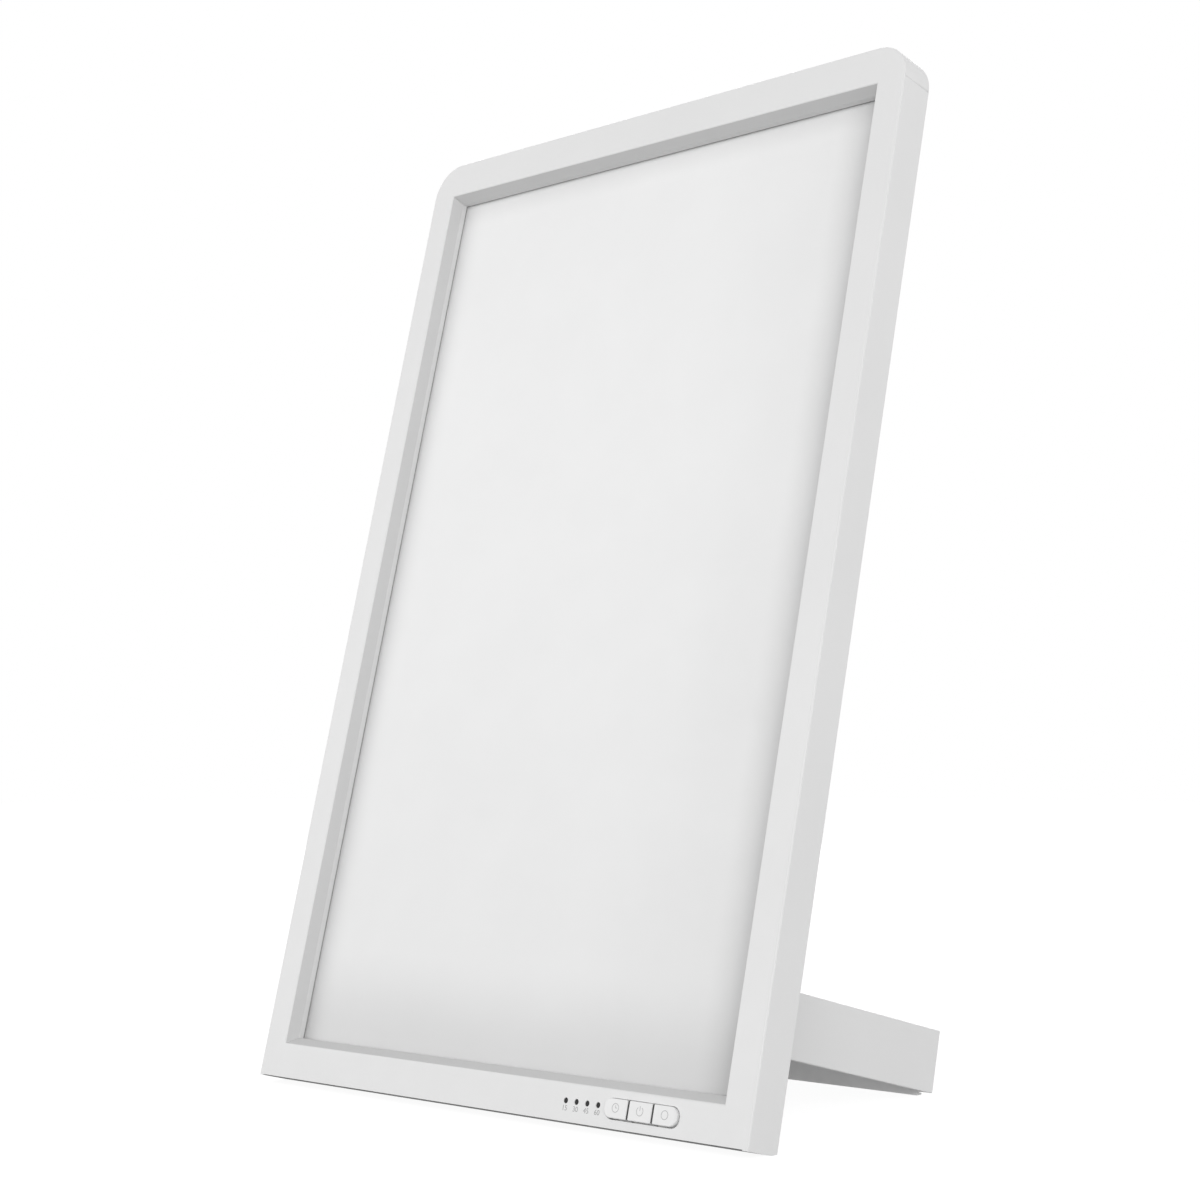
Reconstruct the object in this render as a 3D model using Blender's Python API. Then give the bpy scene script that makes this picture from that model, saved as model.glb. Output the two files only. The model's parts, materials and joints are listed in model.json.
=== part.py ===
# Light therapy lamp: a slim edge-lit panel in a white moulded frame, leaning back on a
# fold-out stand.
#
# Every piece is drawn in the panel's own frame: x to the right, y from the front face
# backwards, z up the panel from its lower edge.  The empty "lean" tips that frame back
# until the panel's base and the stand's foot stand on one level, z = 0 in the world.

import math

import bmesh
import bpy
from mathutils import Matrix, Vector

# Fits and overruns
seat_gap = 0.0003            # between solids that touch
cut_overrun = 0.003          # how far a cutter runs past what it cuts
join_overlap = 0.001         # how far a joined solid sinks into its wall
quarter_turn = math.radians(90)

# Window: the opening at the front face, its sloped bezel and the step to the diffuser
window_width = 0.2318
window_height = 0.3707
bezel_slope_width = 0.0026
bezel_slope_depth = 0.0045
window_recess = 0.0071       # front face to the diffuser's seat
lip_wall = 0.0020            # the wall round the window, inside the frame

# Frame
shell_wall = 0.0022
floor_wall = 0.00175
corner_radius = 0.0140
corner_steps = 8
front_fillet = 0.0020
front_fillet_steps = 3
rear_fillet = 0.0008
screw_channel = 0.0057       # between the side wall and the heat sink
top_channel = 0.01025         # between the top wall and the plate ledge
board_channel = 0.0089       # the bottom channel that holds both boards
ledge_thickness = 0.0010     # ribs that the plates stand on and hang from
ledge_inset = 0.0180         # from the frame's inner wall to the end of a ledge

# Light stack, from the front
plate_overlap = 0.0017       # diffuser edge past the lip's outer face
guide_inset = 0.0005         # guide edge inside the diffuser's edge
diffuser_thickness = 0.0020
guide_thickness = 0.0025
reflector_thickness = 0.0004
led_thickness = 0.0008
led_width = 0.0022
led_length = 0.0032
led_count = 24
strip_thickness = 0.0010
strip_width = 0.0046
strip_end_margin = 0.0060    # strip end to the plates' end
sink_thickness = 0.0012
sink_foot = 0.0040           # the leg that lies on the frame's front wall

# Back cover
cover_thickness = 0.0018
press_rib_height = 0.0005
press_rib_width = 0.0020
press_rib_end_margin = 0.0120
press_rib_shares = (-0.36, 0.0, 0.36)     # of the cover's width
vent_slot_width = 0.0018
vent_slot_height = 0.0060
vent_slot_pitch = 0.0060
vent_slot_count = 14

# Cover screws
boss_radius = 0.0026
pilot_radius = 0.00105
cover_hole_radius = 0.0013
counterbore_radius = 0.0023
counterbore_depth = 0.0011
cover_screw_head_radius = 0.0019
cover_screw_head_height = 0.0007
cover_screw_shank_radius = 0.0008
cover_screw_length = 0.0080
side_screw_shares = (0.16, 0.52, 0.88)    # of the panel's height
top_screw_share = 0.25                    # of the panel's width, each side of the middle
bottom_screw_inset = 0.0176               # from the frame's inner wall

# Base strip and the flat that it stands on
base_strip_thickness = 0.0006
base_strip_inset = 0.0005
rest_flat = 0.0030           # depth of the level cut along the rear lower edge

# Buttons
button_width = 0.0108
button_height = 0.0067
button_gap = 0.0005
button_proud = 0.00085
button_end_radius = 0.0032
button_end_steps = 5
button_edge_fillet = 0.0004
button_clearance = 0.00025   # to the frame's aperture
button_flange_overlap = 0.00045
button_flange_thickness = 0.0008
button_stem_radius = 0.0011
button_stem_length = 0.0008
button_press_gap = 0.0005    # stem to switch plunger
button_row_inset = 0.0312    # row's right end to the panel's right side
button_row_rise = 0.0001     # row's middle above the channel's middle

# Indicators
indicator_count = 4
indicator_pitch = 0.0052
indicator_gap = 0.0038       # last indicator to the button row's left end
indicator_hole_radius = 0.0009
indicator_rise = 0.0003      # above the button row's middle
pipe_clearance = 0.00025
pipe_recess = 0.0004         # pin's end behind the front face
pipe_bar_thickness = 0.0012
pipe_bar_height = 0.0026
pipe_bar_margin = 0.0010
indicator_led_height = 0.0008
indicator_led_width = 0.0010

# Switches and boards
switch_plunger_radius = 0.0012
switch_plunger_height = 0.0006
switch_body_height = 0.0015
switch_body_width = 0.0045
board_thickness = 0.0012
board_edge_clearance = 0.0003
board_screw_margin = 0.0028
board_left_margin = 0.0075   # control board past the first indicator
board_right_margin = 0.0070  # control board past the button row
driver_board_length = 0.0930
driver_board_offset = 0.0055  # driver board's end to the screw boss beside it
board_boss_radius = 0.0019
board_pilot_radius = 0.0009
board_hole_radius = 0.0010
board_screw_head_radius = 0.0017
board_screw_head_height = 0.0011
board_screw_shank_radius = 0.00065
board_screw_reach = 0.0040   # shank below the board's front face

# Parts on the boards
part_rise = 0.0006           # parts sit this much below the board's middle, under the wires
inductor_size = (0.0085, 0.0040, 0.0058)
capacitor_radius = 0.0028
capacitor_height = 0.0042
capacitor_pitch = 0.0075
chip_size = (0.0050, 0.0012, 0.0040)
connector_size = (0.0060, 0.0034, 0.0050)
inductor_share = 0.42              # places along the driver board
capacitor_share = 0.60
chip_shares = (0.30, 0.52)
connector_shares = (0.16, 0.80)
control_connector_share = 0.14            # places along the control board
control_chip_share = 0.50

# Power socket
socket_body_length = 0.0120
socket_body_width = 0.0090
socket_body_height = 0.0080
socket_collar_radius = 0.0036
socket_bore_radius = 0.0028
socket_bore_depth = 0.0090
socket_pin_radius = 0.0010
socket_pin_recess = 0.0010
socket_recess = 0.0004       # collar's end inside the side wall's face

# Wires
wire_radius = 0.00045
wire_top_gap = 0.0003        # wire to the ledge above it
dc_wire_pitch = 0.0020
dc_wire_lead = 0.0010        # straight stretch into the connector
ribbon_thickness = 0.0006
ribbon_height = 0.0030

# Stand
stand_width = 0.1792
stand_side_height = 0.0239
stand_reach = 0.1359         # cover's rear face to the stand's rear end
stand_lower_edge = 0.0350    # above the panel's lower edge
stand_side_wall = 0.0026
stand_top_wall = 0.0020
stand_rear_wall = 0.0020
stand_fillet = 0.0006
stand_rib_height = 0.0030
stand_rib_thickness = 0.0016
stand_rib_shares = (-0.30, 0.0, 0.30)     # of the stand's width
foot_drop = 0.0017           # below the stand's lower edge
foot_leg_thickness = 0.0011
foot_leg_height = 0.0115
foot_end_inset = 0.0048      # from the stand's outer side
foot_rear_inset = 0.0004

# Hinge
hinge_corner_radius = 0.0080              # the stand's rounded corner, about the hinge
hinge_corner_steps = 6
lug_radius = 0.0055
lug_width = 0.0056
lug_steps = 7
lug_notch_side_gap = 0.0006
lug_notch_end_gap = 0.0007
hinge_boss_radius = 0.0050
hinge_boss_length = 0.0030
hinge_pin_radius = 0.0020
hinge_pin_clearance = 0.00015
hinge_pin_sink = 0.0011      # blind end of the bore, into the side wall
hinge_head_radius = 0.0035
hinge_head_height = 0.0012
washer_radius = 0.0046
washer_thickness = 0.0006
washer_gap = 0.0002

fine_sides = 20
round_sides = 16
small_sides = 10
smooth_angle = math.radians(40)
match_tolerance = 0.00001

# Worked out: depths, counted from the front face
diffuser_front = window_recess + seat_gap
guide_front = diffuser_front + diffuser_thickness + seat_gap
reflector_front = guide_front + guide_thickness + seat_gap
press_rib_front = reflector_front + reflector_thickness + seat_gap
cover_front = press_rib_front + press_rib_height
panel_depth = cover_front + cover_thickness
boss_top = cover_front - seat_gap
flange_front = shell_wall + seat_gap
stem_front = flange_front + button_flange_thickness
plunger_front = stem_front + button_stem_length + button_press_gap
switch_front = plunger_front + switch_plunger_height
board_front = switch_front + switch_body_height + seat_gap
board_back = board_front + board_thickness
part_back = board_back + seat_gap

# Worked out: widths, counted from the middle
window_half = window_width / 2
inner_half = window_half - bezel_slope_width
lip_half = inner_half + lip_wall
diffuser_half = lip_half + plate_overlap
guide_half = diffuser_half - guide_inset
led_front_x = guide_half + seat_gap
strip_front_x = led_front_x + led_thickness
sink_front_x = strip_front_x + strip_thickness + seat_gap
cavity_half = sink_front_x + sink_thickness + screw_channel
panel_half = cavity_half + shell_wall
panel_width = 2 * panel_half
side_boss_x = cavity_half - boss_radius + join_overlap / 2

# Worked out: heights, counted from the panel's lower edge
front_wall_bottom = base_strip_thickness + seat_gap
cavity_bottom = front_wall_bottom + floor_wall
low_ledge_bottom = cavity_bottom + board_channel
low_ledge_top = low_ledge_bottom + ledge_thickness
diffuser_bottom = low_ledge_top + seat_gap
lip_bottom = diffuser_bottom + plate_overlap
inner_bottom = lip_bottom + lip_wall
window_bottom = inner_bottom - bezel_slope_width
window_top = window_bottom + window_height
inner_top = window_top - bezel_slope_width
lip_top = inner_top + lip_wall
diffuser_top = lip_top + plate_overlap
high_ledge_bottom = diffuser_top + seat_gap
high_ledge_top = high_ledge_bottom + ledge_thickness
cavity_top = high_ledge_top + top_channel
panel_height = cavity_top + shell_wall
channel_middle = cavity_bottom + board_channel / 2
row_height = channel_middle + button_row_rise
indicator_height = row_height + indicator_rise
board_bottom = cavity_bottom + board_edge_clearance
board_top = low_ledge_bottom - board_edge_clearance
board_part_height = channel_middle - part_rise
wire_height = low_ledge_bottom - wire_top_gap - wire_radius

# Worked out: the row of buttons and indicators, left to right
row_right = panel_half - button_row_inset
row_left = row_right - 3 * button_width - 2 * button_gap
button_places = [
    row_left + button_width / 2 + i * (button_width + button_gap) for i in range(3)
]
indicator_places = [
    row_left - indicator_gap - i * indicator_pitch for i in range(indicator_count)
]
bottom_screw_x = cavity_half - bottom_screw_inset
control_left = indicator_places[-1] - board_left_margin
control_right = row_right + board_right_margin
driver_left = -bottom_screw_x + driver_board_offset
driver_right = driver_left + driver_board_length

# Worked out: the stand, its hinge and the lean
stand_half = stand_width / 2
stand_top = stand_lower_edge + stand_side_height
stand_front = panel_depth + seat_gap
stand_rear = panel_depth + stand_reach
hinge_point = Vector((0, stand_front + hinge_corner_radius, stand_top - hinge_corner_radius))
stand_inner_half = stand_half - stand_side_wall
stand_inner_rear = stand_rear - stand_rear_wall
foot_front = stand_inner_rear - seat_gap - foot_leg_thickness
foot_bottom = stand_lower_edge - foot_drop
boss_inner_x = stand_inner_half - hinge_boss_length
washer_outer_x = boss_inner_x - washer_gap
washer_inner_x = washer_outer_x - washer_thickness
lug_outer_x = washer_inner_x - washer_gap
lug_inner_x = lug_outer_x - lug_width
rest_edge = panel_depth - rest_flat
lean_angle = math.atan2(foot_bottom, foot_front - rest_edge)


# Scene set-up and small helpers

for old in list(bpy.data.objects):
    bpy.data.objects.remove(old)

lamp = bpy.data.collections.new("light_therapy_lamp")
helpers = bpy.data.collections.new("cutters")
bpy.context.scene.collection.children.link(lamp)
bpy.context.scene.collection.children.link(helpers)


def finish(name, colour, roughness, metallic=0.0, alpha=1.0):
    material = bpy.data.materials.new(name)
    material.use_nodes = True
    shader = material.node_tree.nodes["Principled BSDF"]
    shader.inputs["Base Color"].default_value = (*colour, 1)
    shader.inputs["Roughness"].default_value = roughness
    shader.inputs["Metallic"].default_value = metallic
    shader.inputs["Alpha"].default_value = alpha
    material.diffuse_color = (*colour, alpha)
    return material


white_abs = finish("white_abs", (0.80, 0.80, 0.80), 0.45)
grey_rubber = finish("grey_rubber", (0.35, 0.35, 0.35), 0.80)
opal_acrylic = finish("opal_acrylic", (0.86, 0.86, 0.86), 0.50)
clear_acrylic = finish("clear_acrylic", (0.90, 0.92, 0.92), 0.10, alpha=0.5)
white_film = finish("white_film", (0.92, 0.92, 0.92), 0.35)
dark_lens = finish("dark_lens", (0.02, 0.02, 0.02), 0.25)
board_green = finish("board_green", (0.04, 0.20, 0.09), 0.40)
board_white = finish("board_white", (0.75, 0.75, 0.73), 0.45)
black_plastic = finish("black_plastic", (0.03, 0.03, 0.03), 0.45)
aluminium = finish("aluminium", (0.70, 0.70, 0.72), 0.35, metallic=1.0)
steel = finish("steel", (0.55, 0.55, 0.56), 0.30, metallic=1.0)
copper_winding = finish("copper_winding", (0.20, 0.19, 0.18), 0.50)
wire_white = finish("wire_white", (0.70, 0.70, 0.68), 0.50)
nylon = finish("nylon", (0.75, 0.74, 0.70), 0.50)


def empty(name, location, parent=None):
    holder = bpy.data.objects.new(name, None)
    holder.location = location
    holder.parent = parent
    helpers.objects.link(holder)
    return holder


def box(bm, xs, ys, zs):
    # a box between two limits on each axis
    lows = Vector((min(xs), min(ys), min(zs)))
    highs = Vector((max(xs), max(ys), max(zs)))
    size = Matrix.Diagonal((*(highs - lows), 1))
    place = Matrix.Translation((lows + highs) / 2)
    return bmesh.ops.create_cube(bm, size=1, matrix=place @ size)["verts"]


def rod(bm, start, length, radius, sides, along="Y"):
    # a cylinder from start, running along +X or +Y
    turn = Matrix.Rotation(-quarter_turn, 4, "X")
    middle = Vector((0, length / 2, 0))
    if along == "X":
        turn = Matrix.Rotation(quarter_turn, 4, "Y")
        middle = Vector((length / 2, 0, 0))
    bmesh.ops.create_cone(
        bm,
        cap_ends=True,
        segments=sides,
        radius1=radius,
        radius2=radius,
        depth=length,
        matrix=Matrix.Translation(Vector(start) + middle) @ turn,
    )


def same(a, b):
    return abs(a - b) < match_tolerance


def edges_where(bm, test):
    return [edge for edge in bm.edges if all(test(vert.co) for vert in edge.verts)]


def round_edges(bm, edges, radius, steps):
    bmesh.ops.bevel(
        bm,
        geom=edges,
        offset=radius,
        offset_type="OFFSET",
        segments=steps,
        profile=0.5,
        affect="EDGES",
        clamp_overlap=True,
    )


def draw_out(bm, face, run):
    # extrudes one face of a closed solid along a vector
    drawn = bmesh.ops.extrude_face_region(bm, geom=[face])["geom"]
    verts = [item for item in drawn if isinstance(item, bmesh.types.BMVert)]
    bmesh.ops.translate(bm, verts=verts, vec=run)
    bmesh.ops.delete(bm, geom=[face], context="FACES_ONLY")


def piece(name, bm, material, pivot=None, origin=None):
    # a sub-part; its origin is its pivot's place, or its own, or the panel's
    centre = Vector((0, 0, 0))
    if pivot:
        centre = pivot.location.copy()
    if origin:
        centre = Vector(origin)
    bmesh.ops.translate(bm, verts=bm.verts, vec=-centre)
    mesh = bpy.data.meshes.new(name)
    bm.to_mesh(mesh)
    bm.free()
    mesh.materials.append(material)
    mesh.shade_smooth()
    mesh.set_sharp_from_angle(angle=smooth_angle)
    part = bpy.data.objects.new(name, mesh)
    part.parent = pivot or lean
    if origin:
        part.location = centre
    lamp.objects.link(part)
    return part


def helper(name, bm):
    # a hidden solid, drawn in the panel's frame, that cuts a sub-part or joins it
    mesh = bpy.data.meshes.new(name)
    bm.to_mesh(mesh)
    bm.free()
    tool = bpy.data.objects.new(name, mesh)
    tool.parent = lean
    tool.hide_render = True
    tool.display_type = "WIRE"
    helpers.objects.link(tool)
    return tool


def combine(part, tool, operation):
    modifier = part.modifiers.new(tool.name, "BOOLEAN")
    modifier.operation = operation
    modifier.object = tool
    modifier.solver = "EXACT"


def cut(part, name, bm):
    combine(part, helper(name, bm), "DIFFERENCE")


def join(part, name, bm):
    combine(part, helper(name, bm), "UNION")


lean = empty("lean", (0, 0, 0))
lean.rotation_euler = (-lean_angle, 0, 0)
stand_pivot = empty("stand_pivot", hinge_point, lean)


def mirrored(places):
    return [side * place for place in places for side in (-1, 1)]


cover_screw_places = (
    [(side * side_boss_x, share * panel_height) for side in (-1, 1) for share in side_screw_shares]
    + [(x, cavity_top - boss_radius + join_overlap / 2) for x in mirrored([top_screw_share * panel_width])]
    + [(x, channel_middle) for x in mirrored([bottom_screw_x])]
)
board_screw_places = [
    control_left + board_screw_margin,
    control_right - board_screw_margin,
    driver_left + board_screw_margin,
    driver_right - board_screw_margin,
]


def make_table_plane():
    # the level that the lamp stands on, as a slab under it
    bm = bmesh.new()
    reach = panel_height
    box(bm, (-panel_width, panel_width), (-reach, reach), (-reach, 0))
    plane = helper("table_plane", bm)
    plane.location = (0, rest_edge, 0)
    plane.rotation_euler = (lean_angle, 0, 0)
    return plane


# The frame and what it holds

def panel_block(half, low, high, front, back, radius):
    # a box with its two upper corners rounded, as the frame, its cavity and the cover are
    bm = bmesh.new()
    box(bm, (-half, half), (front, back), (low, high))
    corners = [
        edge
        for edge in edges_where(bm, lambda co: same(co.z, high))
        if same(edge.verts[0].co.x, edge.verts[1].co.x)
    ]
    round_edges(bm, corners, radius, corner_steps)
    return bm


def make_front_frame(table_plane):
    bm = panel_block(panel_half, 0, panel_height, 0, panel_depth, corner_radius)
    front_edges = edges_where(bm, lambda co: same(co.y, 0))
    front_edges = [e for e in front_edges if max(v.co.z for v in e.verts) > match_tolerance]
    round_edges(bm, front_edges, front_fillet, front_fillet_steps)
    rear_edges = edges_where(bm, lambda co: same(co.y, panel_depth))
    rear_edges = [e for e in rear_edges if max(v.co.z for v in e.verts) > match_tolerance]
    round_edges(bm, rear_edges, rear_fillet, 1)
    frame = piece("front_frame", bm, white_abs)

    cavity = panel_block(
        cavity_half,
        cavity_bottom,
        cavity_top,
        shell_wall,
        panel_depth + cut_overrun,
        corner_radius - shell_wall,
    )
    cut(frame, "frame_cavity", cavity)

    lip = bmesh.new()
    box(lip, (-lip_half, lip_half), (shell_wall - join_overlap, window_recess), (lip_bottom, lip_top))
    join(frame, "window_lip", lip)

    ledges = bmesh.new()
    ledge_half = cavity_half - ledge_inset
    ledge_depths = (shell_wall - join_overlap, press_rib_front - seat_gap)
    box(ledges, (-ledge_half, ledge_half), ledge_depths, (low_ledge_bottom, low_ledge_top))
    box(ledges, (-ledge_half, ledge_half), ledge_depths, (high_ledge_bottom, high_ledge_top))
    boss_start = shell_wall - join_overlap
    for x, z in cover_screw_places:
        rod(ledges, (x, boss_start, z), boss_top - boss_start, boss_radius, round_sides)
    board_boss_top = board_front - seat_gap
    for x in board_screw_places:
        height = board_boss_top - boss_start
        rod(ledges, (x, boss_start, channel_middle), height, board_boss_radius, round_sides)
    join(frame, "ledges_and_bosses", ledges)

    window = bmesh.new()
    box(window, (-inner_half, inner_half), (-cut_overrun, bezel_slope_depth), (inner_bottom, inner_top))
    spread = bezel_slope_width * (bezel_slope_depth + cut_overrun) / bezel_slope_depth
    for vert in window.verts:
        if vert.co.y < 0:
            vert.co.x += math.copysign(spread, vert.co.x)
            vert.co.z += math.copysign(spread, vert.co.z - (inner_bottom + inner_top) / 2)
    rear_face = max(window.faces, key=lambda face: face.calc_center_median().y)
    draw_out(window, rear_face, (0, window_recess - bezel_slope_depth + cut_overrun, 0))
    cut(frame, "window", window)

    holes = bmesh.new()
    through = shell_wall + 2 * cut_overrun
    for x in indicator_places:
        rod(holes, (x, -cut_overrun, indicator_height), through, indicator_hole_radius, small_sides)
    for x, z in cover_screw_places:
        depth = cover_screw_length + seat_gap
        rod(holes, (x, boss_top - depth, z), depth + cut_overrun, pilot_radius, small_sides)
    for x in board_screw_places:
        start = board_front - board_screw_reach - seat_gap
        length = board_screw_reach + cut_overrun
        rod(holes, (x, start, channel_middle), length, board_pilot_radius, small_sides)
    rod(
        holes,
        (-panel_half - cut_overrun, socket_depth, channel_middle),
        shell_wall + 2 * cut_overrun,
        socket_collar_radius + seat_gap,
        fine_sides,
        along="X",
    )
    box(
        holes,
        (-cavity_half, cavity_half),
        (-cut_overrun, panel_depth + cut_overrun),
        (-cut_overrun, front_wall_bottom),
    )
    cut(frame, "frame_holes", holes)

    aperture = bmesh.new()
    box(
        aperture,
        (row_left - button_clearance, row_right + button_clearance),
        (-cut_overrun, shell_wall + cut_overrun),
        (
            row_height - button_height / 2 - button_clearance,
            row_height + button_height / 2 + button_clearance,
        ),
    )
    ends = [edge for edge in aperture.edges if same(edge.verts[0].co.x, edge.verts[1].co.x)]
    ends = [edge for edge in ends if same(edge.verts[0].co.z, edge.verts[1].co.z)]
    round_edges(aperture, ends, button_end_radius + button_clearance, button_end_steps)
    cut(frame, "button_aperture", aperture)
    combine(frame, table_plane, "DIFFERENCE")


def make_base_strip(table_plane):
    bm = bmesh.new()
    half = cavity_half - seat_gap
    depths = (base_strip_inset, panel_depth - base_strip_inset)
    box(bm, (-half, half), depths, (0, base_strip_thickness))
    combine(piece("base_strip", bm, grey_rubber), table_plane, "DIFFERENCE")


def make_light_stack():
    plates = (
        ("diffuser_panel", opal_acrylic, diffuser_front, diffuser_thickness, 0),
        ("light_guide_plate", clear_acrylic, guide_front, guide_thickness, guide_inset),
        ("reflector_sheet", white_film, reflector_front, reflector_thickness, guide_inset),
    )
    for name, material, front, thickness, inset in plates:
        bm = bmesh.new()
        half = diffuser_half - inset
        box(
            bm,
            (-half, half),
            (front, front + thickness),
            (diffuser_bottom + inset, diffuser_top - inset),
        )
        piece(name, bm, material)


strip_bottom = diffuser_bottom + strip_end_margin
strip_top = diffuser_top - strip_end_margin
guide_middle = guide_front + guide_thickness / 2


def make_light_strip(side, sign):
    sink = bmesh.new()
    outer = sink_front_x + sink_thickness
    box(
        sink,
        (sign * sink_front_x, sign * outer),
        (shell_wall + seat_gap, press_rib_front),
        (strip_bottom, strip_top),
    )
    sink_part = piece(f"heat_sink_{side}", sink, aluminium)
    foot = bmesh.new()
    box(
        foot,
        (sign * (outer - sink_foot), sign * (outer - sink_thickness / 2)),
        (shell_wall + seat_gap, shell_wall + seat_gap + sink_thickness),
        (strip_bottom, strip_top),
    )
    join(sink_part, f"sink_foot_{side}", foot)

    bm = bmesh.new()
    box(
        bm,
        (sign * strip_front_x, sign * (strip_front_x + strip_thickness)),
        (guide_middle - strip_width / 2, guide_middle + strip_width / 2),
        (strip_bottom, strip_top),
    )
    strip = piece(f"led_strip_{side}", bm, board_white)
    leds = bmesh.new()
    pitch = (strip_top - strip_bottom) / led_count
    for i in range(led_count):
        z = strip_bottom + (i + 0.5) * pitch
        box(
            leds,
            (sign * led_front_x, sign * (strip_front_x + strip_thickness / 2)),
            (guide_middle - led_width / 2, guide_middle + led_width / 2),
            (z - led_length / 2, z + led_length / 2),
        )
    join(strip, f"leds_{side}", leds)


# Back cover with its hinge lugs

def make_back_cover():
    half = cavity_half - seat_gap
    low = cavity_bottom + seat_gap
    high = cavity_top - seat_gap
    bm = panel_block(half, low, high, cover_front, panel_depth, corner_radius - shell_wall - seat_gap)
    cover = piece("back_cover", bm, white_abs)

    ribs = bmesh.new()
    for share in press_rib_shares:
        middle = share * panel_width
        box(
            ribs,
            (middle - press_rib_width / 2, middle + press_rib_width / 2),
            (press_rib_front, cover_front + join_overlap),
            (diffuser_bottom + press_rib_end_margin, diffuser_top - press_rib_end_margin),
        )
    join(cover, "press_ribs", ribs)

    lugs = bmesh.new()
    for sign in (-1, 1):
        box(
            lugs,
            (sign * lug_inner_x, sign * lug_outer_x),
            (panel_depth - join_overlap, hinge_point.y + lug_radius),
            (hinge_point.z - lug_radius, hinge_point.z + lug_radius),
        )
    tips = edges_where(lugs, lambda co: same(co.y, hinge_point.y + lug_radius))
    tips = [edge for edge in tips if not same(edge.verts[0].co.x, edge.verts[1].co.x)]
    round_edges(lugs, tips, lug_radius - match_tolerance * 2, lug_steps)
    join(cover, "hinge_lugs", lugs)

    holes = bmesh.new()
    for sign in (-1, 1):
        start = min(sign * lug_inner_x, sign * lug_outer_x) - cut_overrun
        rod(
            holes,
            (start, hinge_point.y, hinge_point.z),
            lug_width + 2 * cut_overrun,
            hinge_pin_radius + hinge_pin_clearance,
            round_sides,
            along="X",
        )
    for x, z in cover_screw_places:
        length = cover_thickness + 2 * cut_overrun
        rod(holes, (x, cover_front - cut_overrun, z), length, cover_hole_radius, small_sides)
    first = -(vent_slot_count - 1) * vent_slot_pitch / 2
    vent_low = (high_ledge_top + cavity_top - vent_slot_height) / 2
    for i in range(vent_slot_count):
        x = first + i * vent_slot_pitch
        box(
            holes,
            (x - vent_slot_width / 2, x + vent_slot_width / 2),
            (cover_front - cut_overrun, panel_depth + cut_overrun),
            (vent_low, vent_low + vent_slot_height),
        )
    cut(cover, "cover_holes", holes)

    counterbores = bmesh.new()
    for x, z in cover_screw_places:
        length = counterbore_depth + cut_overrun
        start = panel_depth - counterbore_depth
        rod(counterbores, (x, start, z), length, counterbore_radius, round_sides)
    cut(cover, "screw_counterbores", counterbores)


def headed_pin(head_radius, head_height, shank_radius, shank_length, sides):
    # a pan head from z = 0 up, with its shank drawn out of the head's underside
    bm = bmesh.new()
    bmesh.ops.create_cone(
        bm,
        cap_ends=True,
        segments=sides,
        radius1=head_radius,
        radius2=head_radius,
        depth=head_height,
        matrix=Matrix.Translation((0, 0, head_height / 2)),
    )
    underside = min(bm.faces, key=lambda face: face.calc_center_median().z)
    step = (head_radius - shank_radius) * math.cos(math.pi / sides)
    bmesh.ops.inset_region(bm, faces=[underside], thickness=step)
    draw_out(bm, underside, (0, 0, -shank_length))
    return bm


def make_screws(name, places, bm):
    # one screw mesh, pointing forwards, placed at each boss
    bmesh.ops.rotate(bm, verts=bm.verts, matrix=Matrix.Rotation(-quarter_turn, 3, "X"))
    mesh = bpy.data.meshes.new(name)
    bm.to_mesh(mesh)
    bm.free()
    mesh.materials.append(steel)
    mesh.shade_smooth()
    mesh.set_sharp_from_angle(angle=smooth_angle)
    for i, place in enumerate(places):
        screw = bpy.data.objects.new(f"{name}_{i + 1}", mesh)
        screw.location = place
        screw.parent = lean
        lamp.objects.link(screw)


def make_cover_screws():
    head_start = panel_depth - counterbore_depth + seat_gap
    shank_length = head_start - boss_top + cover_screw_length
    screw = headed_pin(
        cover_screw_head_radius,
        cover_screw_head_height,
        cover_screw_shank_radius,
        shank_length,
        small_sides,
    )
    make_screws("cover_screw", [(x, head_start, z) for x, z in cover_screw_places], screw)


# Controls

def make_button(name, index):
    x = button_places[index]
    low = row_height - button_height / 2
    high = row_height + button_height / 2
    bm = bmesh.new()
    box(bm, (x - button_width / 2, x + button_width / 2), (-button_proud, stem_front), (low, high))
    end = {0: x - button_width / 2, 2: x + button_width / 2}.get(index)
    if end is not None:
        corners = edges_where(bm, lambda co: same(co.x, end))
        corners = [e for e in corners if same(e.verts[0].co.z, e.verts[1].co.z)]
        round_edges(bm, corners, button_end_radius, button_end_steps)
    face_edges = edges_where(bm, lambda co: same(co.y, -button_proud))
    round_edges(bm, face_edges, button_edge_fillet, 2)
    button = piece(name, bm, white_abs, origin=(x, 0, row_height))

    flange = bmesh.new()
    left = x - button_width / 2
    right = x + button_width / 2
    reach = button_clearance + button_flange_overlap
    if index == 0:
        left -= reach
    if index == 2:
        right += reach
    flange_depths = (flange_front, stem_front)
    box(flange, (left, right), flange_depths, (low - reach, high + reach))
    join(button, f"{name}_flange", flange)

    stem = bmesh.new()
    length = join_overlap / 2 + button_stem_length
    rod(stem, (x, stem_front - join_overlap / 2, row_height), length, button_stem_radius, small_sides)
    join(button, f"{name}_stem", stem)


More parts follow.
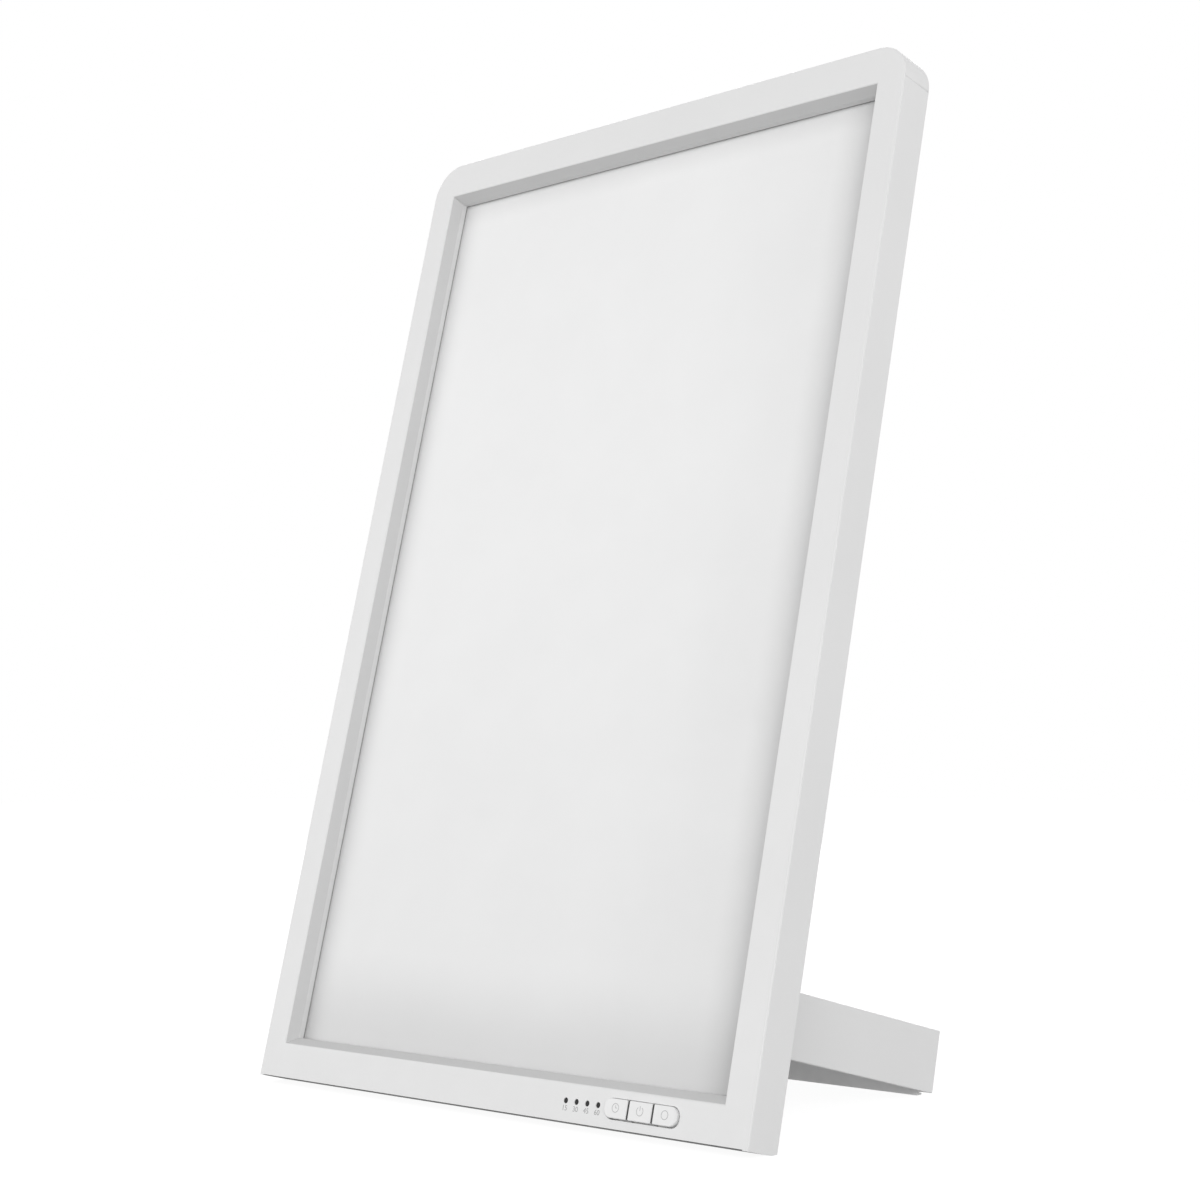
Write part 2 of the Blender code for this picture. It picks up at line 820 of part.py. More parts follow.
def make_indicators(control_board):
    bar_front = flange_front
    low = min(indicator_places) - indicator_hole_radius - pipe_bar_margin
    high = max(indicator_places) + indicator_hole_radius + pipe_bar_margin
    heights = (indicator_height - pipe_bar_height / 2, indicator_height + pipe_bar_height / 2)
    bar = bmesh.new()
    box(bar, (low, high), (bar_front, bar_front + pipe_bar_thickness), heights)
    pipe = piece("indicator_light_pipe", bar, dark_lens)
    led_front = board_front - indicator_led_height
    pins = bmesh.new()
    for x in indicator_places:
        start = pipe_recess
        length = led_front - seat_gap - start
        radius = indicator_hole_radius - pipe_clearance
        rod(pins, (x, start, indicator_height), length, radius, small_sides)
    join(pipe, "light_pipe_pins", pins)

    leds = bmesh.new()
    half = indicator_led_width / 2
    for x in indicator_places:
        box(
            leds,
            (x - half, x + half),
            (led_front, board_front + board_thickness / 2),
            (indicator_height - half, indicator_height + half),
        )
    join(control_board, "indicator_leds", leds)


def make_switch(name, x):
    bm = bmesh.new()
    half = switch_body_width / 2
    box(
        bm,
        (x - half, x + half),
        (switch_front, switch_front + switch_body_height),
        (row_height - half, row_height + half),
    )
    switch = piece(name, bm, black_plastic)
    plunger = bmesh.new()
    length = switch_plunger_height + join_overlap / 2
    rod(plunger, (x, plunger_front, row_height), length, switch_plunger_radius, small_sides)
    join(switch, f"{name}_plunger", plunger)


def make_board(name, left, right, screw_places):
    bm = bmesh.new()
    box(bm, (left, right), (board_front, board_back), (board_bottom, board_top))
    board = piece(name, bm, board_green)
    holes = bmesh.new()
    for x in screw_places:
        length = board_thickness + 2 * cut_overrun
        rod(holes, (x, board_front - cut_overrun, channel_middle), length, board_hole_radius, small_sides)
    cut(board, f"{name}_holes", holes)
    return board


def make_boards():
    control_board = make_board("control_board", control_left, control_right, board_screw_places[:2])
    make_board("driver_board", driver_left, driver_right, board_screw_places[2:])
    screw = headed_pin(
        board_screw_head_radius,
        board_screw_head_height,
        board_screw_shank_radius,
        part_back - board_front + board_screw_reach,
        small_sides,
    )
    make_screws("board_screw", [(x, part_back, channel_middle) for x in board_screw_places], screw)
    return control_board


def along(left, right, share):
    return left + share * (right - left)


def board_part(name, material, x, size, back=True):
    # a part of a given size standing on a board's rear or front face
    bm = bmesh.new()
    front = part_back if back else board_front - seat_gap - size[1]
    box(
        bm,
        (x - size[0] / 2, x + size[0] / 2),
        (front, front + size[1]),
        (board_part_height - size[2] / 2, board_part_height + size[2] / 2),
    )
    return piece(name, bm, material)


def make_board_parts():
    inductor_x = along(driver_left, driver_right, inductor_share)
    board_part("driver_inductor", copper_winding, inductor_x, inductor_size)
    middle = along(driver_left, driver_right, capacitor_share)
    for i, x in enumerate((middle - capacitor_pitch / 2, middle + capacitor_pitch / 2)):
        bm = bmesh.new()
        rod(bm, (x, part_back, board_part_height), capacitor_height, capacitor_radius, round_sides)
        piece(f"driver_capacitor_{i + 1}", bm, aluminium)
    for i, share in enumerate(chip_shares):
        x = along(driver_left, driver_right, share)
        board_part(f"driver_chip_{i + 1}", black_plastic, x, chip_size, back=False)
    chip_x = along(control_left, control_right, control_chip_share)
    board_part("control_chip", black_plastic, chip_x, chip_size)
    for i, x in enumerate(connector_places):
        board_part(f"wire_connector_{i + 1}", nylon, x, connector_size)


connector_places = [along(driver_left, driver_right, share) for share in connector_shares]
connector_places.append(along(control_left, control_right, control_connector_share))


# Power socket and the wires inside

socket_front_gap = flange_front + seat_gap
socket_depth = socket_front_gap + socket_body_width / 2


def make_dc_socket():
    bm = bmesh.new()
    body_left = -cavity_half + seat_gap
    box(
        bm,
        (body_left, body_left + socket_body_length),
        (socket_front_gap, socket_front_gap + socket_body_width),
        (channel_middle - socket_body_height / 2, channel_middle + socket_body_height / 2),
    )
    socket = piece("dc_socket", bm, black_plastic)
    collar = bmesh.new()
    collar_left = -panel_half + socket_recess
    centre = (collar_left, socket_depth, channel_middle)
    length = body_left + join_overlap - collar_left
    rod(collar, centre, length, socket_collar_radius, fine_sides, along="X")
    join(socket, "socket_collar", collar)
    bore = bmesh.new()
    start = (collar_left - cut_overrun, socket_depth, channel_middle)
    rod(bore, start, socket_bore_depth + cut_overrun, socket_bore_radius, fine_sides, along="X")
    cut(socket, "socket_bore", bore)
    pin = bmesh.new()
    start = (collar_left + socket_pin_recess, socket_depth, channel_middle)
    length = socket_bore_depth - socket_pin_recess + join_overlap
    rod(pin, start, length, socket_pin_radius, small_sides, along="X")
    join(socket, "socket_pin", pin)


def wire(name, route):
    # a round wire along hand-set points
    curve = bpy.data.curves.new(name, "CURVE")
    curve.dimensions = "3D"
    curve.bevel_depth = wire_radius
    curve.bevel_resolution = 2
    curve.use_fill_caps = True
    spline = curve.splines.new("POLY")
    spline.points.add(len(route) - 1)
    for point, place in zip(spline.points, route):
        point.co = (*place, 1)
    curve.materials.append(wire_white)
    part = bpy.data.objects.new(name, curve)
    part.parent = lean
    lamp.objects.link(part)


def make_wires():
    # the light strips' wires run along the cover and turn up at the panel's corners
    rear_depth = boss_top - wire_radius
    strip_x = strip_front_x + strip_thickness / 2
    strip_end = strip_bottom - seat_gap
    corner_x = sink_front_x + sink_thickness
    connector_top = board_part_height + connector_size[2] / 2
    connector_middle = part_back + connector_size[1] / 2
    for side, sign, start in (("left", -1, connector_places[0]), ("right", 1, connector_places[1])):
        route = [
            (start, connector_middle, connector_top + seat_gap),
            (start + sign * wire_radius, connector_middle, (connector_top + wire_height) / 2),
            (start + sign * connector_size[0] / 2, rear_depth, wire_height),
            (sign * corner_x, rear_depth, wire_height),
            (sign * corner_x, rear_depth, diffuser_bottom),
            (sign * strip_x, guide_middle, (diffuser_bottom + strip_end) / 2),
            (sign * strip_x, guide_middle, strip_end),
        ]
        wire(f"led_wire_{side}", route)

    # the supply wires pass over the screw boss beside the power socket
    socket_end = -cavity_half + seat_gap + socket_body_length + seat_gap
    plug_end = connector_places[0] - connector_size[0] / 2 - seat_gap
    over_boss = channel_middle + boss_radius + seat_gap + wire_radius
    for i, side in enumerate((-0.5, 0.5)):
        depth = connector_middle + side * dc_wire_pitch
        height = board_part_height + side * dc_wire_pitch
        route = [
            (socket_end, depth, over_boss),
            (driver_left + 2 * board_screw_margin, depth, over_boss),
            (plug_end - dc_wire_lead, connector_middle, height),
            (plug_end, connector_middle, height),
        ]
        wire(f"dc_wire_{i + 1}", route)


def make_ribbon():
    bm = bmesh.new()
    half = connector_size[0] / 2 + seat_gap
    middle = part_back + connector_size[1] / 2
    box(
        bm,
        (connector_places[1] + half, connector_places[2] - half),
        (middle - ribbon_thickness / 2, middle + ribbon_thickness / 2),
        (board_part_height - ribbon_height / 2, board_part_height + ribbon_height / 2),
    )
    piece("board_ribbon", bm, wire_white)


# Stand

def make_stand_shell():
    bm = bmesh.new()
    box(bm, (-stand_half, stand_half), (stand_front, stand_rear), (stand_lower_edge, stand_top))
    corner = edges_where(bm, lambda co: same(co.y, stand_front) and same(co.z, stand_top))
    round_edges(bm, corner, hinge_corner_radius, hinge_corner_steps)
    rear = edges_where(bm, lambda co: same(co.y, stand_rear))
    rear = [e for e in rear if max(v.co.z for v in e.verts) > stand_lower_edge + match_tolerance]
    round_edges(bm, rear, stand_fillet, 1)
    shell = piece("stand_shell", bm, white_abs, pivot=stand_pivot)

    hollow = bmesh.new()
    box(
        hollow,
        (-stand_inner_half, stand_inner_half),
        (stand_front - cut_overrun, stand_inner_rear),
        (stand_lower_edge - cut_overrun, stand_top - stand_top_wall),
    )
    cut(shell, "stand_hollow", hollow)

    ribs = bmesh.new()
    rib_top = stand_top - stand_top_wall + join_overlap
    for share in stand_rib_shares:
        middle = share * stand_width
        box(
            ribs,
            (middle - stand_rib_thickness / 2, middle + stand_rib_thickness / 2),
            (hinge_point.y + hinge_corner_radius, stand_inner_rear + join_overlap),
            (rib_top - join_overlap - stand_rib_height, rib_top),
        )
    for sign in (-1, 1):
        start = min(sign * boss_inner_x, sign * (stand_inner_half + join_overlap))
        centre = (start, hinge_point.y, hinge_point.z)
        rod(ribs, centre, hinge_boss_length + join_overlap, hinge_boss_radius, fine_sides, along="X")
    join(shell, "stand_ribs", ribs)

    cuts = bmesh.new()
    notch_rear = hinge_point.y + lug_radius + lug_notch_end_gap
    for sign in (-1, 1):
        box(
            cuts,
            (sign * (lug_inner_x - lug_notch_side_gap), sign * (lug_outer_x + lug_notch_side_gap)),
            (stand_front - cut_overrun, notch_rear),
            (hinge_point.z, stand_top + cut_overrun),
        )
        bore_end = stand_inner_half + hinge_pin_sink
        start = min(sign * (boss_inner_x - washer_gap), sign * bore_end)
        rod(
            cuts,
            (start, hinge_point.y, hinge_point.z),
            bore_end - boss_inner_x + washer_gap,
            hinge_pin_radius + hinge_pin_clearance,
            round_sides,
            along="X",
        )
    cut(shell, "stand_cuts", cuts)


def make_stand_foot(table_plane):
    bm = bmesh.new()
    half = stand_half - foot_end_inset
    leg_back = foot_front + foot_leg_thickness
    sole_top = stand_lower_edge - seat_gap
    box(bm, (-half, half), (foot_front, leg_back), (foot_bottom, foot_bottom + foot_leg_height))
    foot = piece("stand_foot", bm, grey_rubber, pivot=stand_pivot)
    sole = bmesh.new()
    box(
        sole,
        (-half, half),
        (foot_front + foot_leg_thickness / 2, stand_rear - foot_rear_inset),
        (foot_bottom, sole_top),
    )
    join(foot, "foot_sole", sole)
    combine(foot, table_plane, "DIFFERENCE")


def make_hinge(side, sign):
    # the pin's head lies inside the lug and its shank ends in the stand's boss
    head_outer = lug_inner_x - seat_gap
    shank_outer = stand_inner_half + hinge_pin_sink - seat_gap
    bm = headed_pin(
        hinge_head_radius,
        hinge_head_height,
        hinge_pin_radius,
        shank_outer - head_outer,
        round_sides,
    )
    turn = Matrix.Rotation(-quarter_turn * sign, 4, "Y")
    place = Matrix.Translation((sign * head_outer, hinge_point.y, hinge_point.z))
    bmesh.ops.transform(bm, verts=bm.verts, matrix=place @ turn)
    piece(f"hinge_pin_{side}", bm, steel, pivot=stand_pivot)

    washer = bmesh.new()
    start = min(sign * washer_inner_x, sign * washer_outer_x)
    centre = (start, hinge_point.y, hinge_point.z)
    rod(washer, centre, washer_thickness, washer_radius, round_sides, along="X")
    ring = piece(f"friction_washer_{side}", washer, nylon, pivot=stand_pivot)
    hole = bmesh.new()
    rod(
        hole,
        (start - cut_overrun, hinge_point.y, hinge_point.z),
        washer_thickness + 2 * cut_overrun,
        hinge_pin_radius + hinge_pin_clearance,
        round_sides,
        along="X",
    )
    cut(ring, f"washer_hole_{side}", hole)


def settle():
    # moves the whole lamp so that its box's bottom centre is the world's origin
    bpy.context.view_layer.update()
    depsgraph = bpy.context.evaluated_depsgraph_get()
    corners = []
    for part in lamp.objects:
        evaluated = part.evaluated_get(depsgraph)
        mesh = evaluated.to_mesh()
        corners += [part.matrix_world @ vert.co for vert in mesh.vertices]
        evaluated.to_mesh_clear()
    lows = [min(corner[axis] for corner in corners) for axis in range(3)]
    highs = [max(corner[axis] for corner in corners) for axis in range(3)]
    lean.location = (
        -(lows[0] + highs[0]) / 2,
        -(lows[1] + highs[1]) / 2,
        -lows[2],
    )


def build():
    table_plane = make_table_plane()
    make_front_frame(table_plane)
    make_base_strip(table_plane)
    make_light_stack()
    make_light_strip("left", -1)
    make_light_strip("right", 1)
    make_back_cover()
    make_cover_screws()
    for index, name in enumerate(("button_timer", "button_power", "button_brightness")):
        make_button(name, index)
    for name, x in zip(("switch_timer", "switch_power", "switch_brightness"), button_places):
        make_switch(name, x)
    make_indicators(make_boards())
    make_board_parts()
    make_dc_socket()
    make_wires()
    make_ribbon()
    make_stand_shell()
    make_stand_foot(table_plane)
    make_hinge("left", -1)
    make_hinge("right", 1)
    settle()


build()
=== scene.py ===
import json
import math

import bmesh
import bpy
from mathutils import Matrix, Vector


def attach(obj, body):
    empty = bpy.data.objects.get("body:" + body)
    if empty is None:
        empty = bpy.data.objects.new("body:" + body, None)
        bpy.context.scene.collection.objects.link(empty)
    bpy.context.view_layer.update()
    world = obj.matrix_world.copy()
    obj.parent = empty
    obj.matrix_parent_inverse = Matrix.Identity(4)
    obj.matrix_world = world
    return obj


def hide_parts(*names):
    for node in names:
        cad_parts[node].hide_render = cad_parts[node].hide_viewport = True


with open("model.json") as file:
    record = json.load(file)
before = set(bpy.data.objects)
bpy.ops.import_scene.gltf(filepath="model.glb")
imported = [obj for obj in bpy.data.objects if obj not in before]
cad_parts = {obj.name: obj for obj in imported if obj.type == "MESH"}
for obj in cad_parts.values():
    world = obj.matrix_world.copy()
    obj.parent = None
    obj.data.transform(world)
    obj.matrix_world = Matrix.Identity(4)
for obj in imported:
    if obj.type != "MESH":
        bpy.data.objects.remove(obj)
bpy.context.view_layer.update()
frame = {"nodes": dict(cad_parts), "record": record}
print("frame loaded,", len(frame["nodes"]), "nodes")

# Pieces are drawn in millimetres in the panel's own frame: x right, y from the front face
# backwards, z up from the panel's lower edge. toWorld leans that frame back and seats it.
mm = 0.001
quarterTurn = math.radians(90)
panelLean = 0.240981
panelSeat = Vector((0, -0.080469, 0.002983))
leanBack = Matrix.Rotation(-panelLean, 4, "X")
toWorld = Matrix.Translation(panelSeat) @ leanBack @ Matrix.Scale(mm, 4)
smoothAngle = math.radians(32)
tiny = 0.01  # two places nearer than this are the same, in millimetres
overrun = 3  # how far a cutter runs past what it cuts
sink = 1  # how far a joined solid runs into its wall
far = 400  # the half of a cutter that takes in the whole lamp


# The window, which the frame and the sheet's finish both follow
window = {
    "half": 115.9,
    "bottom": 13.4,
    "top": 384.65,
    "slopeWidth": 2.6,
    "sillWidth": 3.15,  # the slope along the bottom is a little wider
    "slopeDepth": 4.5,
    "recess": 7.1,
    "lip": 2.0,
    "edgeRound": 0.45,
    "edgeSegments": 4,
    "stepRound": 0.25,
}


# Materials

def linearColour(hexColour):
    # sRGB hex to the linear colour that a shader takes
    parts = [int(hexColour[i:i + 2], 16) / 255 for i in (1, 3, 5)]
    return (*[c / 12.92 if c <= 0.04045 else ((c + 0.055) / 1.055) ** 2.4 for c in parts], 1)


def addNode(tree, kind, settings=None, links=None):
    # a node with its settings, sockets or properties, and what feeds it
    node = tree.nodes.new(kind)
    for key, value in (settings or {}).items():
        if isinstance(key, int) or key in node.inputs:
            node.inputs[key].default_value = value
        else:
            setattr(node, key, value)
    for key, source in (links or {}).items():
        tree.links.new(source, node.inputs[key])
    return node


def startMaterial(name, hexColour, settings):
    # the plain shader, with Object coordinates turned into the panel's own millimetres
    material = bpy.data.materials.new(name)
    material.use_nodes = True
    tree = material.node_tree
    shader = tree.nodes["Principled BSDF"]
    shader.inputs["Base Color"].default_value = linearColour(hexColour)
    for socket, value in settings.items():
        shader.inputs[socket].default_value = value
    place = addNode(tree, "ShaderNodeTexCoord").outputs["Object"]
    leant = addNode(
        tree,
        "ShaderNodeMapping",
        {
            "vector_type": "TEXTURE",
            "Location": panelSeat,
            "Rotation": (-panelLean, 0, 0),
            "Scale": (mm, mm, mm),
        },
        {"Vector": place},
    )
    return material, tree, shader, leant.outputs["Vector"]


def plainFinish(name, hexColour, settings, mottle, polish, grain=None):
    # a finish of colour drift, patches of gloss and fine relief alone
    material, tree, shader, place = startMaterial(name, hexColour, settings)
    addMottle(tree, shader, place, *mottle)
    addPolish(tree, shader, place, *polish)
    if grain:
        addGrain(tree, shader, place, *grain)
    return material


def addMottle(tree, shader, place, size, hexDark, hexLight):
    # slow colour drift, as pigment and handling give; returns the colour for further nodes
    scale = {"Scale": 1 / size, "Detail": 3.0}
    noise = addNode(tree, "ShaderNodeTexNoise", scale, {"Vector": place})
    ramp = addNode(tree, "ShaderNodeValToRGB", None, {"Fac": noise.outputs["Fac"]})
    ramp.color_ramp.elements[0].position = 0.35
    ramp.color_ramp.elements[1].position = 0.65
    ramp.color_ramp.elements[0].color = linearColour(hexDark)
    ramp.color_ramp.elements[1].color = linearColour(hexLight)
    tree.links.new(ramp.outputs["Color"], shader.inputs["Base Color"])
    return ramp.outputs["Color"]


def addPolish(tree, shader, place, size, low, high):
    # patches of more and less gloss
    scale = {"Scale": 1 / size, "Detail": 4.0}
    noise = addNode(tree, "ShaderNodeTexNoise", scale, {"Vector": place})
    span = {"To Min": low, "To Max": high}
    spread = addNode(tree, "ShaderNodeMapRange", span, {"Value": noise.outputs["Fac"]})
    tree.links.new(spread.outputs["Result"], shader.inputs["Roughness"])


def addGrain(tree, shader, place, size, height, stretch=(1, 1, 1)):
    # fine relief; stretch draws it out along an axis, as brushing and drawing do
    drawn = addNode(tree, "ShaderNodeMapping", {"Scale": stretch}, {"Vector": place})
    noise = addNode(
        tree,
        "ShaderNodeTexNoise",
        {"Scale": 1 / size, "Detail": 2.0, "Roughness": 0.6},
        {"Vector": drawn.outputs["Vector"]},
    )
    bump = addNode(
        tree,
        "ShaderNodeBump",
        {"Strength": 1.0, "Distance": height * mm},
        {"Height": noise.outputs["Fac"]},
    )
    tree.links.new(bump.outputs["Normal"], shader.inputs["Normal"])


# Painted shade on the diffuser sheet: darker near the housing on each side, where the frame's
# shadow falls, and
# slowly towards its lower right. Each row: axis, the window's edge, direction inwards, width and
# depth of the shade
sheetHalf = window["half"] - window["slopeWidth"]
sheetLow = window["bottom"] + window["sillWidth"]
sheetHigh = window["top"] - window["slopeWidth"]
sheetPaintedShade = (
    ("X", -sheetHalf, 1, 16, 0.07),
    ("X", sheetHalf, -1, 20, 0.24),
    ("X", sheetHalf, -1, 90, 0.06),
    ("Z", sheetLow, 1, 40, 0.18),
    ("Z", sheetLow, 1, 280, 0.065),
    ("Z", sheetHigh, -1, 12, 0.12),
)
# and painted shade on the bezel: darker on its slope, where shade falls, and a painted shadow
# line where it meets the sheet
bezelPaintedShade = (
    ("Y", window["slopeDepth"] - 0.1, 1, 0.2, 0.13),
    ("Y", window["recess"] - 0.35, -1, 0.15, 0.55),
)


def addPaintedShade(tree, shader, place, colour, shades):
    # paints shade into a colour: darkens it along the edges that the rows of shades name
    parts = addNode(tree, "ShaderNodeSeparateXYZ", None, {"Vector": place})
    level = None
    for axis, edge, inwards, band, depth in shades:
        shade = addNode(
            tree,
            "ShaderNodeMapRange",
            {
                "interpolation_type": "SMOOTHSTEP",
                "From Min": edge,
                "From Max": edge + inwards * band,
                "To Min": 1.0 - depth,
                "To Max": 1.0,
            },
            {"Value": parts.outputs[axis]},
        ).outputs["Result"]
        if level is None:
            level = shade
        else:
            product = {"operation": "MULTIPLY"}
            level = addNode(tree, "ShaderNodeMath", product, {0: level, 1: shade}).outputs[0]
    scaled = {"operation": "SCALE"}
    dimmed = addNode(tree, "ShaderNodeVectorMath", scaled, {0: colour, "Scale": level})
    tree.links.new(dimmed.outputs["Vector"], shader.inputs["Base Color"])


# white ABS from a spark-eroded mould: an even satin that softens every highlight; the
# real grain is 0.1 mm, drawn at 0.7 so that it shows
mouldedAbs = plainFinish(
    "mouldedAbs", "#E8E8E8", {"IOR": 1.53},
    mottle=(60, "#E7E7E7", "#E9E9E9"), polish=(9, 0.40, 0.52), grain=(0.7, 0.006),
)


def makeBezelPaintedShadeAbs():
    # the bezel's deeper, coarser mould grain: a matt white that doesn't glare beside the lit
    # sheet; its greyer white is painted shade, greyest on the slope, with a painted shadow line
    # where it meets the sheet
    material, tree, shader, place = startMaterial("bezelAbsPaintedShade", "#DADADA", {"IOR": 1.53})
    colour = addMottle(tree, shader, place, 40, "#D9D9D9", "#DBDBDB")
    # painted shade: darker on the slope, with a painted shadow line at the sheet
    addPaintedShade(tree, shader, place, colour, bezelPaintedShade)
    addPolish(tree, shader, place, 6, 0.62, 0.74)
    addGrain(tree, shader, place, 0.8, 0.010)
    return material


# the same ABS off a polished core: buttons are a little glossier than the frame
polishedAbs = plainFinish(
    "polishedAbs", "#E9E9E9", {"IOR": 1.53},
    mottle=(20, "#E8E8E8", "#EAEAEA"), polish=(3, 0.28, 0.36), grain=(0.5, 0.002),
)


def makeOpalAcrylic():
    # extruded opal acrylic with a matt face: light sinks in a little and it stays even; the
    # fine cloth-like grain of its face is drawn at 0.8 mm
    material, tree, shader, place = startMaterial(
        "opalAcrylic",
        "#F7F7F7",
        {"IOR": 1.49, "Subsurface Weight": 0.25, "Subsurface Scale": 0.003},
    )
    shader.inputs["Subsurface Radius"].default_value = (1.0, 1.0, 1.0)
    colour = addMottle(tree, shader, place, 45, "#F6F6F6", "#F8F8F8")
    # painted shade: the sheet's colour darkens near the housing and towards its lower right
    addPaintedShade(tree, shader, place, colour, sheetPaintedShade)
    addPolish(tree, shader, place, 12, 0.46, 0.56)
    addGrain(tree, shader, place, 0.8, 0.006)
    return material


def makeClearAcrylic():
    # cast acrylic with a printed dot pattern on its back: clear, with rows of white dots
    material, tree, shader, place = startMaterial(
        "castAcrylic",
        "#F2F8F7",
        {"IOR": 1.49, "Roughness": 0.06, "Transmission Weight": 0.85},
    )
    dots = addNode(
        tree,
        "ShaderNodeTexVoronoi",
        {"Scale": 1 / 2.5, "Randomness": 0.0},
        {"Vector": place},
    )
    edge = addNode(
        tree,
        "ShaderNodeMapRange",
        {"From Min": 0.26, "From Max": 0.30, "To Min": 0.2, "To Max": 0.9},
        {"Value": dots.outputs["Distance"]},
    )
    tree.links.new(edge.outputs["Result"], shader.inputs["Transmission Weight"])
    addPolish(tree, shader, place, 6, 0.04, 0.10)
    return material


# voided white polyester film: nearly pure white with a soft sheen
reflectorFilm = plainFinish(
    "polyesterFilm", "#F4F4F4", {"IOR": 1.6},
    mottle=(30, "#F2F2F2", "#F6F6F6"), polish=(5, 0.25, 0.35), grain=(2, 0.01),
)

# moulded smoked polycarbonate with a matt end: reads as black dots that catch little light
smokedLens = plainFinish(
    "smokedPolycarbonate", "#161617", {"IOR": 1.585, "Specular IOR Level": 0.15},
    mottle=(1.5, "#131314", "#1C1C1D"), polish=(1, 0.40, 0.55), grain=(0.6, 0.002),
)

# soft thermoplastic rubber, moulded: matt pale grey with a dry, dusty bloom
greyRubber = plainFinish(
    "mouldedRubber", "#F0F0F0", {"IOR": 1.50, "Sheen Weight": 0.15, "Sheen Roughness": 0.6},
    mottle=(8, "#EDEDED", "#F2F2F2"), polish=(2, 0.62, 0.78), grain=(0.6, 0.01),
)

# the same rubber in dark grey, for the strip that the panel stands on; the dark grey is partly
# the strip's own and partly painted contact shade along the panel's foot
stripRubberContactShade = plainFinish(
    "stripRubberContactShade", "#6B6B6B", {"IOR": 1.50, "Sheen Weight": 0.15, "Sheen Roughness": 0.6},
    mottle=(8, "#666666", "#707070"), polish=(2, 0.65, 0.80), grain=(0.6, 0.01),
)

# near-black and matt, seen only as lines between the buttons: painted shade for the shadow in the
# gaps between them
buttonGapShade = plainFinish(
    "buttonGapPaintedShade", "#3C3C3C", {"IOR": 1.43},
    mottle=(2, "#393939", "#404040"), polish=(1, 0.60, 0.72),
)


def makeSolderMask(name, hexColour, hexDark, hexTrack):
    # glass-epoxy board under solder mask: glossy, with the tracks showing as lighter lines
    material, tree, shader, place = startMaterial(name, hexColour, {"IOR": 1.52})
    tracks = addNode(
        tree,
        "ShaderNodeTexBrick",
        {
            "Scale": 1.0,
            "Brick Width": 6.0,
            "Row Height": 1.6,
            "Mortar Size": 0.15,
            "Color1": linearColour(hexColour),
            "Color2": linearColour(hexDark),
            "Mortar": linearColour(hexTrack),
        },
    )
    turned = addNode(
        tree,
        "ShaderNodeMapping",
        {"Rotation": (quarterTurn, 0, 0)},
        {"Vector": place},
    )
    tree.links.new(turned.outputs["Vector"], tracks.inputs["Vector"])
    tree.links.new(tracks.outputs["Color"], shader.inputs["Base Color"])
    addPolish(tree, shader, place, 2, 0.18, 0.32)
    addGrain(tree, shader, place, 1.2, 0.01)
    return material


# glass-filled nylon, moulded: black with faint grey fibres at the surface
blackNylon = plainFinish(
    "glassFilledNylon", "#1B1B1C", {"IOR": 1.53},
    mottle=(1.5, "#171718", "#232324"), polish=(1.5, 0.38, 0.55), grain=(0.5, 0.008),
)

# drawn aluminium profile: bright, with lines along the drawing direction
aluminium = plainFinish(
    "drawnAluminium", "#C6C8CA", {"Metallic": 1.0},
    mottle=(12, "#C2C4C6", "#CBCDCF"),
    polish=(4, 0.26, 0.38), grain=(0.4, 0.006, (1, 1, 0.04)),
)

# zinc-plated steel: cool grey metal with a faint clouded passivation
zincSteel = plainFinish(
    "zincPlatedSteel", "#BDBEC1", {"Metallic": 1.0},
    mottle=(1.2, "#B4B6BA", "#C6C6C7"), polish=(0.8, 0.24, 0.38), grain=(0.3, 0.003),
)

# a wound choke under dark varnish: matt grey-brown with the turns showing as ridges
ferrite = plainFinish(
    "varnishedFerrite", "#3A3632", {"IOR": 1.55},
    mottle=(1.2, "#33302D", "#423C36"),
    polish=(1, 0.40, 0.60), grain=(0.5, 0.05, (1, 0.05, 0.05)),
)

# extruded PVC sleeve on the wires: off-white with a low waxy gloss
wireSleeve = plainFinish(
    "extrudedPvc", "#DCDBD6", {"IOR": 1.53},
    mottle=(4, "#D8D7D1", "#E0DFDA"), polish=(1.5, 0.32, 0.44), grain=(0.5, 0.004),
)

# machined natural nylon washer: warm white, waxy, with turning marks
naturalNylon = plainFinish(
    "naturalNylon", "#E2DFD6", {"IOR": 1.53, "Subsurface Weight": 0.1, "Subsurface Scale": 0.001},
    mottle=(3, "#DEDBD1", "#E6E3DB"), polish=(1, 0.35, 0.48), grain=(0.4, 0.006),
)


def makePrintInk(name, hexColour, hexLight):
    # pad-printed ink: flat grey with a slightly uneven film
    material, tree, shader, place = startMaterial(name, hexColour, {"IOR": 1.50})
    addMottle(tree, shader, place, 0.6, hexColour, hexLight)
    addPolish(tree, shader, place, 0.5, 0.45, 0.60)
    return material


bezelPaintedShadeAbs = makeBezelPaintedShadeAbs()
opalAcrylic = makeOpalAcrylic()
numberInk = makePrintInk("numberInk", "#9C9C9C", "#A8A8A8")
symbolInk = makePrintInk("symbolInk", "#B4B4B4", "#BEBEBE")

slotFinish = {
    "white_abs": mouldedAbs,
    "grey_rubber": greyRubber,
    "opal_acrylic": opalAcrylic,
    "clear_acrylic": makeClearAcrylic(),
    "white_film": reflectorFilm,
    "dark_lens": smokedLens,
    "board_green": makeSolderMask("greenSolderMask", "#1E5B33", "#1B5530", "#2C7A47"),
    "board_white": makeSolderMask("whiteSolderMask", "#E4E4E0", "#DFDFDB", "#CFCFC8"),
    "black_plastic": blackNylon,
    "aluminium": aluminium,
    "steel": zincSteel,
    "copper_winding": ferrite,
    "wire_white": wireSleeve,
    "nylon": naturalNylon,
}
for subpart in frame["record"]["subparts"]:
    cadMesh = frame["nodes"][subpart["node"]].data
    cadMesh.materials.clear()
    cadMesh.materials.append(slotFinish[subpart["material_slot"]])
print("materials made")


# Tools for shaping

